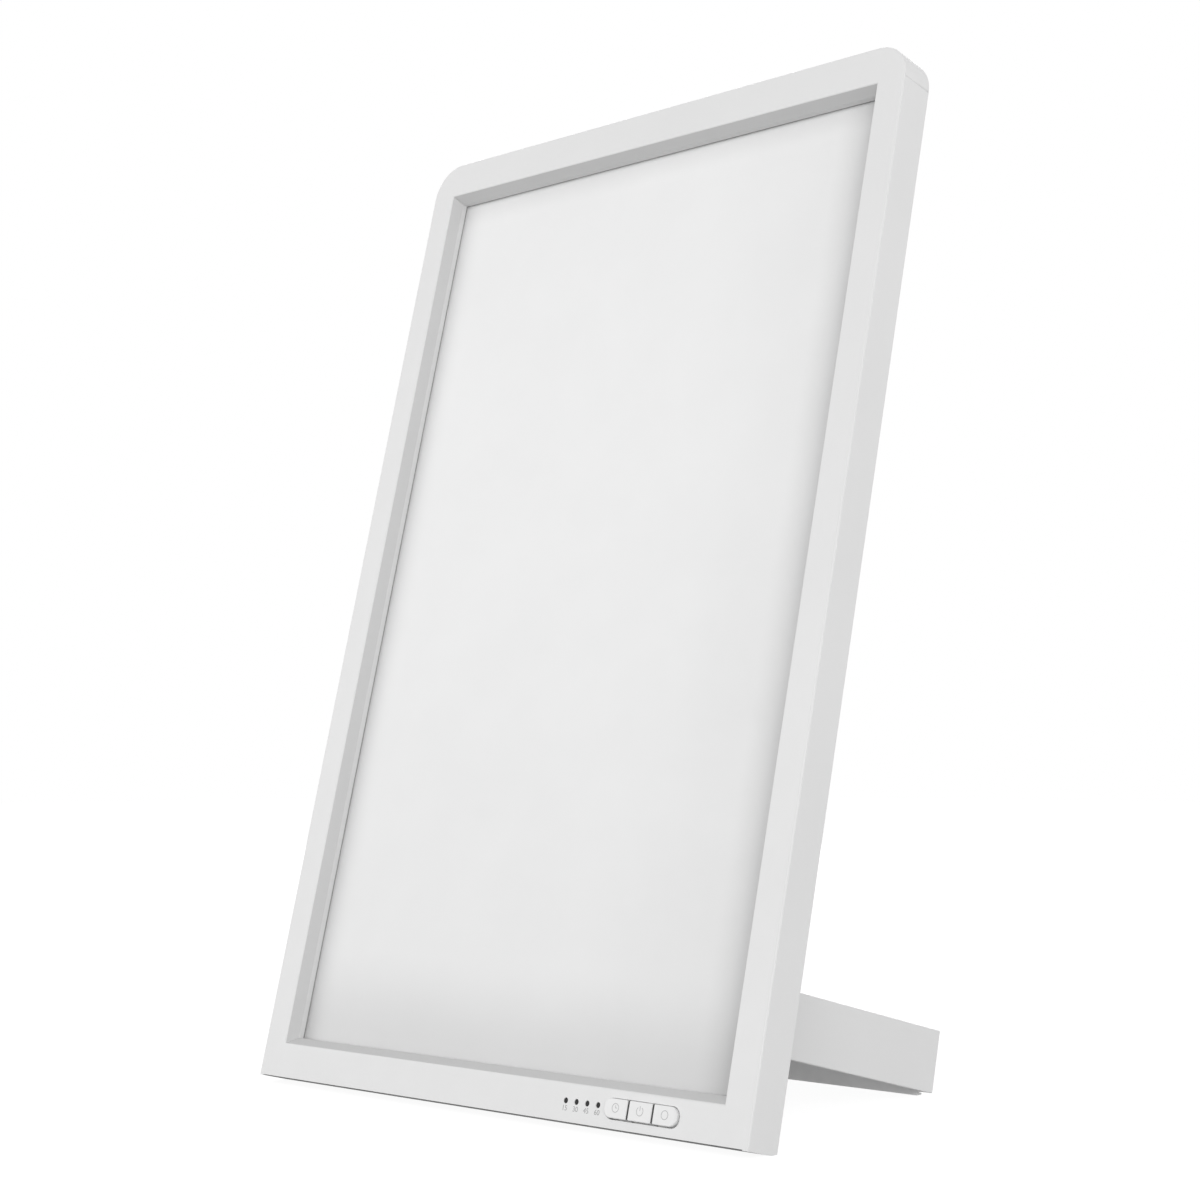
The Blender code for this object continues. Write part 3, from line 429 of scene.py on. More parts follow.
def block(bm, xs, ys, zs):
    # a box between two limits on each axis
    low = Vector((min(xs), min(ys), min(zs)))
    high = Vector((max(xs), max(ys), max(zs)))
    place = Matrix.Translation((low + high) / 2) @ Matrix.Diagonal((*(high - low), 1))
    return bmesh.ops.create_cube(bm, size=1, matrix=place)["verts"]


def rod(bm, start, length, radius, along="Y", sides=32):
    # a cylinder that runs from start along +X or +Y
    turn = Matrix.Rotation(-quarterTurn, 4, "X")
    middle = Vector((0, length / 2, 0))
    if along == "X":
        turn = Matrix.Rotation(quarterTurn, 4, "Y")
        middle = Vector((length / 2, 0, 0))
    return bmesh.ops.create_cone(
        bm,
        cap_ends=True,
        segments=sides,
        radius1=radius,
        radius2=radius,
        depth=length,
        matrix=Matrix.Translation(Vector(start) + middle) @ turn,
    )["verts"]


def near(a, b):
    return abs(a - b) < tiny


def edgesWhere(bm, test):
    return [edge for edge in bm.edges if all(test(vert.co) for vert in edge.verts)]


def edgesAt(bm, axis, value):
    # those that lie wholly at one place along an axis
    return edgesWhere(bm, lambda co: near(co[axis], value))


def alongAxis(edge, axis):
    # true for an edge that runs along that axis alone
    a, b = edge.verts[0].co, edge.verts[1].co
    return all(near(a[i], b[i]) for i in range(3) if i != axis)


def bevelEdges(bm, edges, width, segments):
    bmesh.ops.bevel(
        bm,
        geom=edges,
        offset=width,
        offset_type="OFFSET",
        segments=segments,
        profile=0.5,
        affect="EDGES",
        material=-1,
        clamp_overlap=True,
    )


def sharpEdges(edges, degrees=50):
    # those that turn by more than that angle
    angle = math.radians(degrees)
    return [e for e in edges if len(e.link_faces) == 2 and e.calc_face_angle(0) > angle]


def newObject(name, data):
    made = bpy.data.objects.new(name, data)
    bpy.context.scene.collection.objects.link(made)
    return made


def combine(bm, tool, operation="DIFFERENCE"):
    # cuts tool out of bm, or joins it on, and gives the result back as a bmesh
    meshes = []
    for source in (bm, tool):
        mesh = bpy.data.meshes.new("work")
        source.to_mesh(mesh)
        source.free()
        meshes.append(mesh)
    workObjects = [newObject("work", mesh) for mesh in meshes]
    boolean = workObjects[0].modifiers.new("combine", "BOOLEAN")
    boolean.operation = operation
    boolean.object = workObjects[1]
    boolean.solver = "EXACT"
    depsgraph = bpy.context.evaluated_depsgraph_get()
    result = bmesh.new()
    result.from_object(workObjects[0], depsgraph)
    for workObject in workObjects:
        bpy.data.objects.remove(workObject)
    for mesh in meshes:
        bpy.data.meshes.remove(mesh)
    bmesh.ops.remove_doubles(result, verts=result.verts, dist=tiny / 10)
    bmesh.ops.dissolve_limit(
        result,
        angle_limit=math.radians(0.5),
        use_dissolve_boundaries=False,
        verts=result.verts,
        edges=result.edges,
        delimit={"NORMAL"},
    )
    return result


def addPiece(name, bm, materials, body, slot, *nodes):
    # a finished piece: its mesh goes to its place in the world, its object stays at the origin
    materials = materials if isinstance(materials, tuple) else (materials,)
    bmesh.ops.transform(bm, verts=bm.verts, matrix=toWorld)
    bmesh.ops.recalc_face_normals(bm, faces=bm.faces)
    mesh = bpy.data.meshes.new(name)
    bm.to_mesh(mesh)
    bm.free()
    for material in materials:
        mesh.materials.append(material)
    mesh.shade_smooth()
    mesh.set_sharp_from_angle(angle=smoothAngle)
    piece = newObject(name, mesh)
    weighted = piece.modifiers.new("flatFacesFirst", "WEIGHTED_NORMAL")
    weighted.keep_sharp = True
    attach(piece, body)
    if nodes:
        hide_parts(*nodes)


# The frame: front border, bezel, step, side walls and what stands up inside

shell = {
    "half": 128,
    "top": 399.5,
    "depth": 15.5,
    "cornerRadius": 14,
    "cornerSegments": 20,
    "frontRadius": 0.9,
    "frontSegments": 5,
    "rearRadius": 0.3,
    "wall": 2.2,
    "cavityHalf": 125.8,
    "cavityBottom": 2.65,
    "cavityTop": 397.3,
    "rearSegments": 2,
    "plateBottom": 0.9,  # the front border ends here, above the base strip
    "skirtBottom": 0.32,  # and its thin front skirt here, so the strip shows as a line
    "skirtBack": 0.45,
    "restEdge": 12.5,  # where the level cut starts along the lower rear edge
}
ledges = {"half": 107.8, "low": (11.55, 12.55), "high": (386.05, 387.05), "depth": 12.9}
screwPlaces = (
    [(side * 123.7, z) for side in (-1, 1) for z in (63.92, 207.74, 351.56)]
    + [(side * 64, 395.2) for side in (-1, 1)]
    + [(side * 108.2, 7.1) for side in (-1, 1)]
)
boardScrewPlaces = [(x, 7.1) for x in (39.3, 101.0, -99.9, -12.5)]
coverBoss = {"top": 13.4, "radius": 2.6, "holeFront": 5.1, "holeDeep": 8.3, "holeRadius": 1.05}
boardBoss = {"top": 6.7, "radius": 1.9, "holeFront": 2.7, "holeDeep": 4, "holeRadius": 0.9}
bossRows = ((coverBoss, screwPlaces), (boardBoss, boardScrewPlaces))
socket = {
    "y": 9.2,
    "z": 7.1,
    "holeRadius": 3.9,  # the frame's hole for the collar
    "outer": -127.6,
    "body": (-125.5, -113.5),
    "wide": 9.0,
    "tall": 8.0,
    "bodyRound": 0.3,
    "collarRadius": 3.6,
    "collarRound": 0.25,
    "boreDeep": 9,
    "boreRadius": 2.8,
    "mouthReach": 3,
    "mouthRound": 0.3,
    "pinStart": 1,
    "pinLength": 8.5,
    "pinRadius": 1.0,
    "pinRound": 0.3,
}
seam = {"height": 385.0, "width": 0.35, "depth": 0.09, "front": 0.8}


def panelBlock(half, low, high, front, back, radius, segments):
    # a box with its two upper corners rounded
    bm = bmesh.new()
    block(bm, (-half, half), (front, back), (low, high))
    corners = [e for e in edgesAt(bm, 2, high) if alongAxis(e, 1)]
    bevelEdges(bm, corners, radius, segments)
    return bm


def tableCutter():
    # everything below the level that the lamp stands on
    bm = bmesh.new()
    verts = block(bm, (-far, far), (-far, far), (-far, 0))
    bmesh.ops.rotate(bm, verts=verts, matrix=Matrix.Rotation(panelLean, 3, "X"))
    bmesh.ops.translate(bm, verts=verts, vec=(0, shell["restEdge"], 0))
    return bm


buttonRow = {
    "places": (68.8, 80.1, 91.4),
    "left": 63.4,
    "right": 96.8,
    "height": 7.2,
    "width": 10.5,
    "tall": 6.7,
    "proud": 1.0,
    "endRadius": 3.2,
    "endSegments": 10,
    "cornerRound": 0.35,
    "faceRound": 0.4,
    "clearance": {"above": 0.15, "left": 0.15, "below": 0.45, "right": 0.45},
    "ribWidth": 0.62,  # dark ribs between the buttons: painted shade for the shadow in their gaps
    "ribFront": -0.82,
    "ribBack": 2.4,
    "ribShort": (0.3, 0.15),  # what the ribs leave free below and above
    "ribRound": 0.08,
    "flange": 0.7,
    "flangeFront": 2.5,
    "stemFront": 3.3,
    "stemLength": 0.8,
    "stemRadius": 1.1,
}
indicators = {
    "places": (44.0, 49.2, 54.4, 59.6),
    "height": 7.5,
    "radius": 1.0,
    "rimRound": 0.12,
    "margin": 2,  # the border that their bevel's search leaves out
}


def rowBlock(front, back):
    # the opening for the button row, as a block with rounded ends
    r, gap = buttonRow, buttonRow["clearance"]
    bm = bmesh.new()
    block(
        bm,
        (r["left"] - gap["left"], r["right"] + gap["right"]),
        (front, back),
        (r["height"] - r["tall"] / 2 - gap["below"], r["height"] + r["tall"] / 2 + gap["above"]),
    )
    ends = [e for e in bm.edges if alongAxis(e, 1)]
    bevelEdges(bm, ends, r["endRadius"] + gap["left"], r["endSegments"])
    return bm


def makeFrontShell():
    s, w = shell, window
    bm = panelBlock(s["half"], 0, s["top"], 0, s["depth"], s["cornerRadius"], s["cornerSegments"])
    front = edgesAt(bm, 1, 0)
    front = [e for e in front if max(v.co.z for v in e.verts) > tiny]
    bevelEdges(bm, front, s["frontRadius"], s["frontSegments"])
    rear = edgesAt(bm, 1, s["depth"])
    rear = [e for e in rear if max(v.co.z for v in e.verts) > tiny]
    bevelEdges(bm, rear, s["rearRadius"], s["rearSegments"])

    bm = combine(
        bm,
        panelBlock(
            s["cavityHalf"],
            s["cavityBottom"],
            s["cavityTop"],
            s["wall"],
            s["depth"] + overrun,
            s["cornerRadius"] - s["wall"],
            s["cornerSegments"],
        ),
    )

    # what stands up from the front wall inside: the lip round the window, ledges and bosses
    lipHalf = w["half"] - w["slopeWidth"] + w["lip"]
    lipLow = w["bottom"] + w["sillWidth"] - w["lip"]
    lipHigh = w["top"] - w["slopeWidth"] + w["lip"]
    lip = bmesh.new()
    block(lip, (-lipHalf, lipHalf), (s["wall"] - sink, w["recess"]), (lipLow, lipHigh))
    bm = combine(bm, lip, "UNION")
    inside = bmesh.new()
    for zs in (ledges["low"], ledges["high"]):
        block(inside, (-ledges["half"], ledges["half"]), (s["wall"] - sink, ledges["depth"]), zs)
    bm = combine(bm, inside, "UNION")
    bosses = bmesh.new()
    for b, places in bossRows:
        for x, z in places:
            length = b["top"] - s["wall"] + sink
            rod(bosses, (x, s["wall"] - sink, z), length, b["radius"], sides=24)
    bm = combine(bm, bosses, "UNION")

    # the window: sloped bezel, then straight down to the diffuser
    hole = bmesh.new()
    half = w["half"] - w["slopeWidth"]
    low, high = w["bottom"] + w["sillWidth"], w["top"] - w["slopeWidth"]
    verts = block(hole, (-half, half), (-overrun, w["slopeDepth"]), (low, high))
    spread = (w["slopeDepth"] + overrun) / w["slopeDepth"]
    for vert in verts:
        if vert.co.y < 0:
            vert.co.x += math.copysign(w["slopeWidth"] * spread, vert.co.x)
            upper = near(vert.co.z, high)
            vert.co.z += w["slopeWidth"] * spread if upper else -w["sillWidth"] * spread
    back = max(hole.faces, key=lambda face: face.calc_center_median().y)
    drawn = bmesh.ops.extrude_face_region(hole, geom=[back])["geom"]
    drawn = [item for item in drawn if isinstance(item, bmesh.types.BMVert)]
    bmesh.ops.translate(hole, verts=drawn, vec=(0, w["recess"] - w["slopeDepth"] + overrun, 0))
    bmesh.ops.delete(hole, geom=[back], context="FACES_ONLY")
    bm = combine(bm, hole)

    def onRim(co):
        upright = near(abs(co.x), w["half"]) and w["bottom"] - tiny < co.z < w["top"] + tiny
        level = near(co.z, w["bottom"]) or near(co.z, w["top"])
        return near(co.y, 0) and (upright or level and abs(co.x) < w["half"] + tiny)

    bevelEdges(bm, edgesWhere(bm, onRim), w["edgeRound"], w["edgeSegments"])
    step = edgesAt(bm, 1, w["slopeDepth"])
    bevelEdges(bm, sharpEdges(step, 10), w["stepRound"], 2)

    # the opening for the buttons, then the indicators' holes
    bm = combine(bm, rowBlock(-overrun, s["wall"] + overrun))
    holes = bmesh.new()
    d = indicators
    for x in d["places"]:
        start = (x, -overrun, d["height"])
        rod(holes, start, s["wall"] + 2 * overrun, d["radius"], sides=24)
    bm = combine(bm, holes)
    low, high = d["margin"], w["bottom"] - d["margin"]
    mouths = edgesWhere(bm, lambda co: near(co.y, 0) and low < co.z < high)
    bevelEdges(bm, sharpEdges(mouths, 60), d["rimRound"], 3)

    # screw holes, the socket's hole, the room for the base strip and the level rear edge
    holes = bmesh.new()
    for b, places in bossRows:
        for x, z in places:
            start = (x, b["holeFront"], z)
            rod(holes, start, b["holeDeep"] + overrun, b["holeRadius"], sides=16)
    bm = combine(bm, holes)
    holes = bmesh.new()
    start = (-s["half"] - overrun, socket["y"], socket["z"])
    rod(holes, start, s["wall"] + 2 * overrun, socket["holeRadius"], along="X", sides=40)
    bm = combine(bm, holes)
    for front, top in ((s["skirtBack"], s["plateBottom"]), (-overrun, s["skirtBottom"])):
        holes = bmesh.new()
        xs = (-s["cavityHalf"], s["cavityHalf"])
        block(holes, xs, (front, s["depth"] + overrun), (-overrun, top))
        bm = combine(bm, holes)
    bm = combine(bm, tableCutter())

    # the fine line that the mould's slides leave on both side walls
    lines = bmesh.new()
    for side in (-1, 1):
        block(
            lines,
            (side * (s["half"] - seam["depth"]), side * (s["half"] + overrun)),
            (seam["front"], s["depth"] - s["rearRadius"]),
            (seam["height"] - seam["width"] / 2, seam["height"] + seam["width"] / 2),
        )
    bm = combine(bm, lines)

    # the bezel and its step take their own finish, the greyer one with painted shade
    for face in bm.faces:
        centre = face.calc_center_median()
        inside = abs(centre.x) < w["half"] and w["bottom"] < centre.z < w["top"]
        face.material_index = int(inside and w["edgeRound"] < centre.y < w["recess"] - tiny)
    addPiece("frontShell", bm, (mouldedAbs, bezelPaintedShadeAbs), "root", "white_abs", "front_frame")


makeFrontShell()
print("front shell made")


# Buttons with their symbols, the indicator lenses and the numbers

def makeButton(name, index, node):
    r = buttonRow
    x = r["places"][index]
    low, high = r["height"] - r["tall"] / 2, r["height"] + r["tall"] / 2
    left, right = x - r["width"] / 2, x + r["width"] / 2
    if index == 0:
        left = r["left"]
    if index == 2:
        right = r["right"]
    bm = bmesh.new()
    block(bm, (left, right), (-r["proud"], r["stemFront"]), (low, high))
    end = {0: left, 2: right}.get(index)
    uprights = [e for e in bm.edges if alongAxis(e, 1)]
    rounded = [e for e in uprights if end is not None and near(e.verts[0].co.x, end)]
    bevelEdges(bm, rounded, r["endRadius"], r["endSegments"])
    square = [e for e in sharpEdges(bm.edges, 60) if alongAxis(e, 1)]
    bevelEdges(bm, square, r["cornerRound"], 3)
    face = edgesAt(bm, 1, -r["proud"])
    bevelEdges(bm, face, r["faceRound"], 6)

    flange = bmesh.new()
    reach = r["flange"]
    block(
        flange,
        (left - (reach if index == 0 else 0), right + (reach if index == 2 else 0)),
        (r["flangeFront"], r["stemFront"]),
        (low - reach, high + reach),
    )
    bm = combine(bm, flange, "UNION")
    stem = bmesh.new()
    start = (x, r["stemFront"] - sink / 2, r["height"])
    rod(stem, start, sink / 2 + r["stemLength"], r["stemRadius"], sides=20)
    bm = combine(bm, stem, "UNION")
    addPiece(name, bm, polishedAbs, node, "white_abs", node)


buttonNames = ("timerButton", "powerButton", "brightnessButton")
buttonNodes = ("button_timer", "button_power", "button_brightness")
for index, (name, node) in enumerate(zip(buttonNames, buttonNodes)):
    makeButton(name, index, node)


# dark ribs in the gaps between the buttons: painted shade for the shadow there
def makeGapShadeRibs():
    r = buttonRow
    bm = bmesh.new()
    for a, b in zip(r["places"], r["places"][1:]):
        middle = (a + b) / 2
        block(
            bm,
            (middle - r["ribWidth"] / 2, middle + r["ribWidth"] / 2),
            (r["ribFront"], r["ribBack"]),
            (
                r["height"] - r["tall"] / 2 + r["ribShort"][0],
                r["height"] + r["tall"] / 2 - r["ribShort"][1],
            ),
        )
    bevelEdges(bm, edgesAt(bm, 1, r["ribFront"]), r["ribRound"], 2)
    addPiece("gapShadeRibs", bm, buttonGapShade, "root", "grey_rubber")


makeGapShadeRibs()

symbols = {
    "thickness": 0.05,
    "radius": 1.6,
    "line": 0.24,
    "height": 7.4,
    "sink": 0.025,
    "longHand": 1.0,
    "shortHand": 0.75,
    "powerGap": math.radians(70),
    "powerBar": (0.2, 0.15),  # from the middle up, and past the ring
}


def symbolRing(bm, x, radius, line, gap=0.0):
    # a flat ring, drawn by spinning its square section; a gap leaves its top open
    z = symbols["height"]
    front = -buttonRow["proud"] - symbols["thickness"] + symbols["sink"]
    back = front + symbols["thickness"]
    verts = [
        bm.verts.new((x, front, z + radius)),
        bm.verts.new((x, back, z + radius)),
        bm.verts.new((x, back, z + radius - line)),
        bm.verts.new((x, front, z + radius - line)),
    ]
    section = bm.faces.new(verts)
    centre = Vector((x, 0, z))
    bmesh.ops.rotate(bm, verts=verts, cent=centre, matrix=Matrix.Rotation(gap / 2, 3, "Y"))
    full = gap == 0
    geometry = [section] + list(section.edges) + verts
    if full:
        bmesh.ops.delete(bm, geom=[section], context="FACES_ONLY")
        geometry = [item for item in geometry if item.is_valid]
    bmesh.ops.spin(
        bm,
        geom=geometry,
        cent=centre,
        axis=(0, 1, 0),
        angle=math.radians(360) - gap,
        steps=40,
        use_merge=full,
    )
    bmesh.ops.remove_doubles(bm, verts=bm.verts, dist=tiny / 10)


def symbolBar(bm, x, xs, zs):
    front = -buttonRow["proud"] - symbols["thickness"] + symbols["sink"]
    z = symbols["height"]
    ys = (front, front + symbols["thickness"])
    block(bm, (x + xs[0], x + xs[1]), ys, (z + zs[0], z + zs[1]))


def makeSymbols():
    radius, line = symbols["radius"], symbols["line"]
    half = line / 2
    # timer: a dial with two hands
    x = buttonRow["places"][0]
    bm = bmesh.new()
    symbolRing(bm, x, radius, line)
    symbolBar(bm, x, (-half, half), (-half, symbols["longHand"]))
    symbolBar(bm, x, (half, symbols["shortHand"]), (-half, half))
    addPiece("timerSymbol", bm, symbolInk, "button_timer", "grey_rubber")
    # power: an open ring with a bar
    x = buttonRow["places"][1]
    bm = bmesh.new()
    low, past = symbols["powerBar"]
    symbolRing(bm, x, radius, line, symbols["powerGap"])
    symbolBar(bm, x, (-half, half), (low, radius + past))
    addPiece("powerSymbol", bm, symbolInk, "button_power", "grey_rubber")
    # brightness: a plain ring
    x = buttonRow["places"][2]
    bm = bmesh.new()
    symbolRing(bm, x, radius, line)
    addPiece("brightnessSymbol", bm, symbolInk, "button_brightness", "grey_rubber")


makeSymbols()


lenses = {
    "front": 0.1,
    "back": 5.9,
    "radius": 0.97,
    "dome": 0.35,
    "barXs": (42.1, 61.5),
    "barYs": (2.5, 3.7),
    "barHalf": 1.3,
    "barRound": 0.2,
}


def makeIndicatorLenses():
    # four pins on a bar, with domed ends
    d = lenses
    bm = bmesh.new()
    front, height = d["front"], indicators["height"]
    block(bm, d["barXs"], d["barYs"], (height - d["barHalf"], height + d["barHalf"]))
    bevelEdges(bm, list(bm.edges), d["barRound"], 2)
    for x in indicators["places"]:
        pins = bmesh.new()
        rod(pins, (x, front, height), d["back"] - front, d["radius"], sides=24)
        bevelEdges(pins, edgesAt(pins, 1, front), d["dome"], 4)
        bm = combine(bm, pins, "UNION")
    addPiece("indicatorLenses", bm, smokedLens, "root", "dark_lens", "indicator_light_pipe")


makeIndicatorLenses()

numbers = {
    "words": ("15", "30", "45", "60"),
    "tall": 1.8,
    "figureShare": 0.69,  # how much of the built-in face's size its figures take
    "middle": 4.9,
    "thickness": 0.03,
    "sink": 0.012,
    "merge": 0.0005,
}


def makeNumbers():
    # minutes under each lamp, printed on the border
    for word, x in zip(numbers["words"], indicators["places"]):
        curve = bpy.data.curves.new("number", "FONT")
        curve.body = word
        curve.size = numbers["tall"] / numbers["figureShare"]
        curve.align_x = "CENTER"
        curve.align_y = "CENTER"
        curve.extrude = numbers["thickness"] / 2
        curve.resolution_u = 4
        holder = newObject("number", curve)
        shown = holder.evaluated_get(bpy.context.evaluated_depsgraph_get())
        flat = bpy.data.meshes.new_from_object(shown)
        bm = bmesh.new()
        bm.from_mesh(flat)
        bpy.data.objects.remove(holder)
        bpy.data.meshes.remove(flat)
        bmesh.ops.remove_doubles(bm, verts=bm.verts, dist=numbers["merge"])
        bmesh.ops.rotate(bm, verts=bm.verts, matrix=Matrix.Rotation(quarterTurn, 3, "X"))
        front = -numbers["thickness"] / 2 + numbers["sink"] / 2
        bmesh.ops.translate(bm, verts=bm.verts, vec=(x, front, numbers["middle"]))
        addPiece(f"minutes{word}", bm, numberInk, "root", "grey_rubber")


makeNumbers()
print("controls made")


# Base strip and diffuser

strip = {"play": 0.3, "front": 0.5, "back": 15.0, "tall": 0.6, "edgeRound": 0.2}


def makeBaseStrip():
    bm = bmesh.new()
    half = shell["cavityHalf"] - strip["play"]
    block(bm, (-half, half), (strip["front"], strip["back"]), (0, strip["tall"]))
    bevelEdges(bm, edgesAt(bm, 2, 0), strip["edgeRound"], 2)
    bm = combine(bm, tableCutter())
    # the strip's dark grey is partly painted contact shade along the panel's foot
    addPiece("baseStrip", bm, stripRubberContactShade, "root", "grey_rubber", "base_strip")


makeBaseStrip()

sheet = {"xs": (-117, 117), "ys": (7.4, 9.4), "zs": (12.85, 385.75), "edgeRound": 0.2}


def makeDiffuser():
    bm = bmesh.new()
    block(bm, sheet["xs"], sheet["ys"], sheet["zs"])
    bevelEdges(bm, list(bm.edges), sheet["edgeRound"], 2)
    addPiece("diffuserSheet", bm, opalAcrylic, "root", "opal_acrylic", "diffuser_panel")


makeDiffuser()
print("base strip and diffuser made")


# Back cover with its hinge lugs, vents and screws

cover = {
    "half": 125.5,
    "low": 2.95,
    "high": 397.0,
    "front": 13.7,
    "back": 15.5,
    "cornerRadius": 11.5,
    "cornerSegments": 20,
    "rimRound": 0.35,
    "ribs": (-92.16, 0, 92.16),
    "ribHalf": 1,
    "ribFront": 13.2,
    "ribZs": (24.85, 373.75),
    "thick": 1.8,
    "holeRadius": 1.3,
    "wellDeep": 1.1,
    "wellRadius": 2.3,
    "mouthRound": 0.18,
    "vents": 14,
    "ventPitch": 6.0,
    "ventWidth": 1.8,
    "ventTall": 6.0,
    "ventMiddle": 392.175,
}
hinge = {
    "y": 23.8,
    "z": 50.9,
    "lugX": (77.4, 83.0),
    "lugRadius": 5.5,
    "lugRound": 0.4,
    "gap": 0.15,
    "pinRadius": 2.0,
    "pinLength": 10.7,
    "headPlay": 0.3,  # between the pin's head and the lug
    "headTall": 1.2,
    "headRadius": 3.5,
    "headRound": 0.4,
    "keyDeep": 0.6,
    "keyRadius": 1.3,
    "washer": (83.2, 83.8),
    "washerThick": 0.6,
    "washerRadius": 4.6,
    "washerRound": 0.1,
}
nearly = 0.02  # a full round is made this much short of its edge's middle


def makeBackCover():
    c, h = cover, hinge
    corner = (c["cornerRadius"], c["cornerSegments"])
    bm = panelBlock(c["half"], c["low"], c["high"], c["front"], c["back"], *corner)
    bevelEdges(bm, edgesAt(bm, 1, c["back"]), c["rimRound"], 3)
    ribs = bmesh.new()
    for x in c["ribs"]:
        xs = (x - c["ribHalf"], x + c["ribHalf"])
        block(ribs, xs, (c["ribFront"], c["front"] + sink), c["ribZs"])
    bm = combine(bm, ribs, "UNION")
    for side in (-1, 1):
        lug = bmesh.new()
        block(
            lug,
            (side * h["lugX"][0], side * h["lugX"][1]),
            (c["back"] - sink, h["y"] + h["lugRadius"]),
            (h["z"] - h["lugRadius"], h["z"] + h["lugRadius"]),
        )
        tips = edgesAt(lug, 1, h["y"] + h["lugRadius"])
        bevelEdges(lug, [e for e in tips if alongAxis(e, 0)], h["lugRadius"] - nearly, 14)
        proud = edgesWhere(lug, lambda co: co.y > c["back"] - sink + tiny)
        bevelEdges(lug, sharpEdges(proud), h["lugRound"], 2)
        bm = combine(bm, lug, "UNION")
    holes = bmesh.new()
    for side in (-1, 1):
        start = min(side * h["lugX"][0], side * h["lugX"][1]) - overrun
        length = h["lugX"][1] - h["lugX"][0] + 2 * overrun
        rod(holes, (start, h["y"], h["z"]), length, h["pinRadius"] + h["gap"], along="X")
    for x, z in screwPlaces:
        start = (x, c["front"] - overrun, z)
        rod(holes, start, c["thick"] + 2 * overrun, c["holeRadius"], sides=24)
    bm = combine(bm, holes)
    wells = bmesh.new()
    for x, z in screwPlaces:
        start = (x, c["back"] - c["wellDeep"], z)
        rod(wells, start, c["wellDeep"] + overrun, c["wellRadius"], sides=40)
    bm = combine(bm, wells)
    slots = bmesh.new()
    for i in range(c["vents"]):
        x = (i - (c["vents"] - 1) / 2) * c["ventPitch"]
        block(
            slots,
            (x - c["ventWidth"] / 2, x + c["ventWidth"] / 2),
            (c["front"] - overrun, c["back"] + overrun),
            (c["ventMiddle"] - c["ventTall"] / 2, c["ventMiddle"] + c["ventTall"] / 2),
        )
    ends = [e for e in slots.edges if alongAxis(e, 1)]
    bevelEdges(slots, ends, c["ventWidth"] / 2 - nearly, 6)
    bm = combine(bm, slots)
    clear = h["lugRadius"] + 1
    mouths = edgesWhere(bm, lambda co: near(co.y, c["back"]) and abs(co.z - h["z"]) > clear)
    bevelEdges(bm, sharpEdges(mouths, 60), c["mouthRound"], 2)
    addPiece("backCover", bm, mouldedAbs, "root", "white_abs", "back_cover")


makeBackCover()

screwHead = {
    "radius": 1.9,
    "tall": 0.7,
    "round": 0.4,
    "front": 14.7,
    "shankRadius": 0.8,
    "shankFront": 5.4,
    "overlap": 0.2,  # how far the shank runs into the head
    "cross": 0.42,
    "crossHalf": 1.1,
    "crossDeep": 0.45,
}


def makeScrews():
    # pan-head screws with a cross recess
    s = screwHead
    for i, (x, z) in enumerate(screwPlaces):
        bm = bmesh.new()
        rod(bm, (x, s["front"], z), s["tall"], s["radius"], sides=32)
        top = s["front"] + s["tall"]
        bevelEdges(bm, edgesAt(bm, 1, top), s["round"], 4)
        shank = bmesh.new()
        length = s["front"] - s["shankFront"] + s["overlap"]
        rod(shank, (x, s["shankFront"], z), length, s["shankRadius"], sides=16)
        bm = combine(bm, shank, "UNION")
        ys = (top - s["crossDeep"], top + sink)
        arm, half = s["crossHalf"], s["cross"] / 2
        for across, up in ((arm, half), (half, arm)):
            recess = bmesh.new()
            block(recess, (x - across, x + across), ys, (z - up, z + up))
            bm = combine(bm, recess)
        addPiece(f"coverScrew{i + 1}", bm, zincSteel, "root", "steel", f"cover_screw_{i + 1}")


makeScrews()
print("back cover made")


# Power socket in the left wall

def makeSocket():
    s = socket
    bm = bmesh.new()
    block(
        bm,
        s["body"],
        (s["y"] - s["wide"] / 2, s["y"] + s["wide"] / 2),
        (s["z"] - s["tall"] / 2, s["z"] + s["tall"] / 2),
    )
    bevelEdges(bm, list(bm.edges), s["bodyRound"], 2)
    collar = bmesh.new()
    start, length = (s["outer"], s["y"], s["z"]), s["body"][0] - s["outer"] + sink
    rod(collar, start, length, s["collarRadius"], along="X", sides=48)
    bevelEdges(collar, edgesAt(collar, 0, s["outer"]), s["collarRound"], 3)
    bm = combine(bm, collar, "UNION")
    bore = bmesh.new()
    start, length = (s["outer"] - overrun, s["y"], s["z"]), s["boreDeep"] + overrun
    rod(bore, start, length, s["boreRadius"], along="X", sides=48)
    bm = combine(bm, bore)

    def onMouth(co):
        reach = math.hypot(co.y - s["y"], co.z - s["z"])
        return near(co.x, s["outer"]) and reach < s["mouthReach"]

    bevelEdges(bm, edgesWhere(bm, onMouth), s["mouthRound"], 3)
    addPiece("powerSocket", bm, blackNylon, "root", "black_plastic", "dc_socket")
    pin = bmesh.new()
    tip = s["outer"] + s["pinStart"]
    rod(pin, (tip, s["y"], s["z"]), s["pinLength"], s["pinRadius"], along="X", sides=32)
    bevelEdges(pin, edgesAt(pin, 0, tip), s["pinRound"], 4)
    addPiece("socketPin", pin, zincSteel, "root", "steel")


makeSocket()
print("socket made")


# Stand: tray, foot, pins and washers

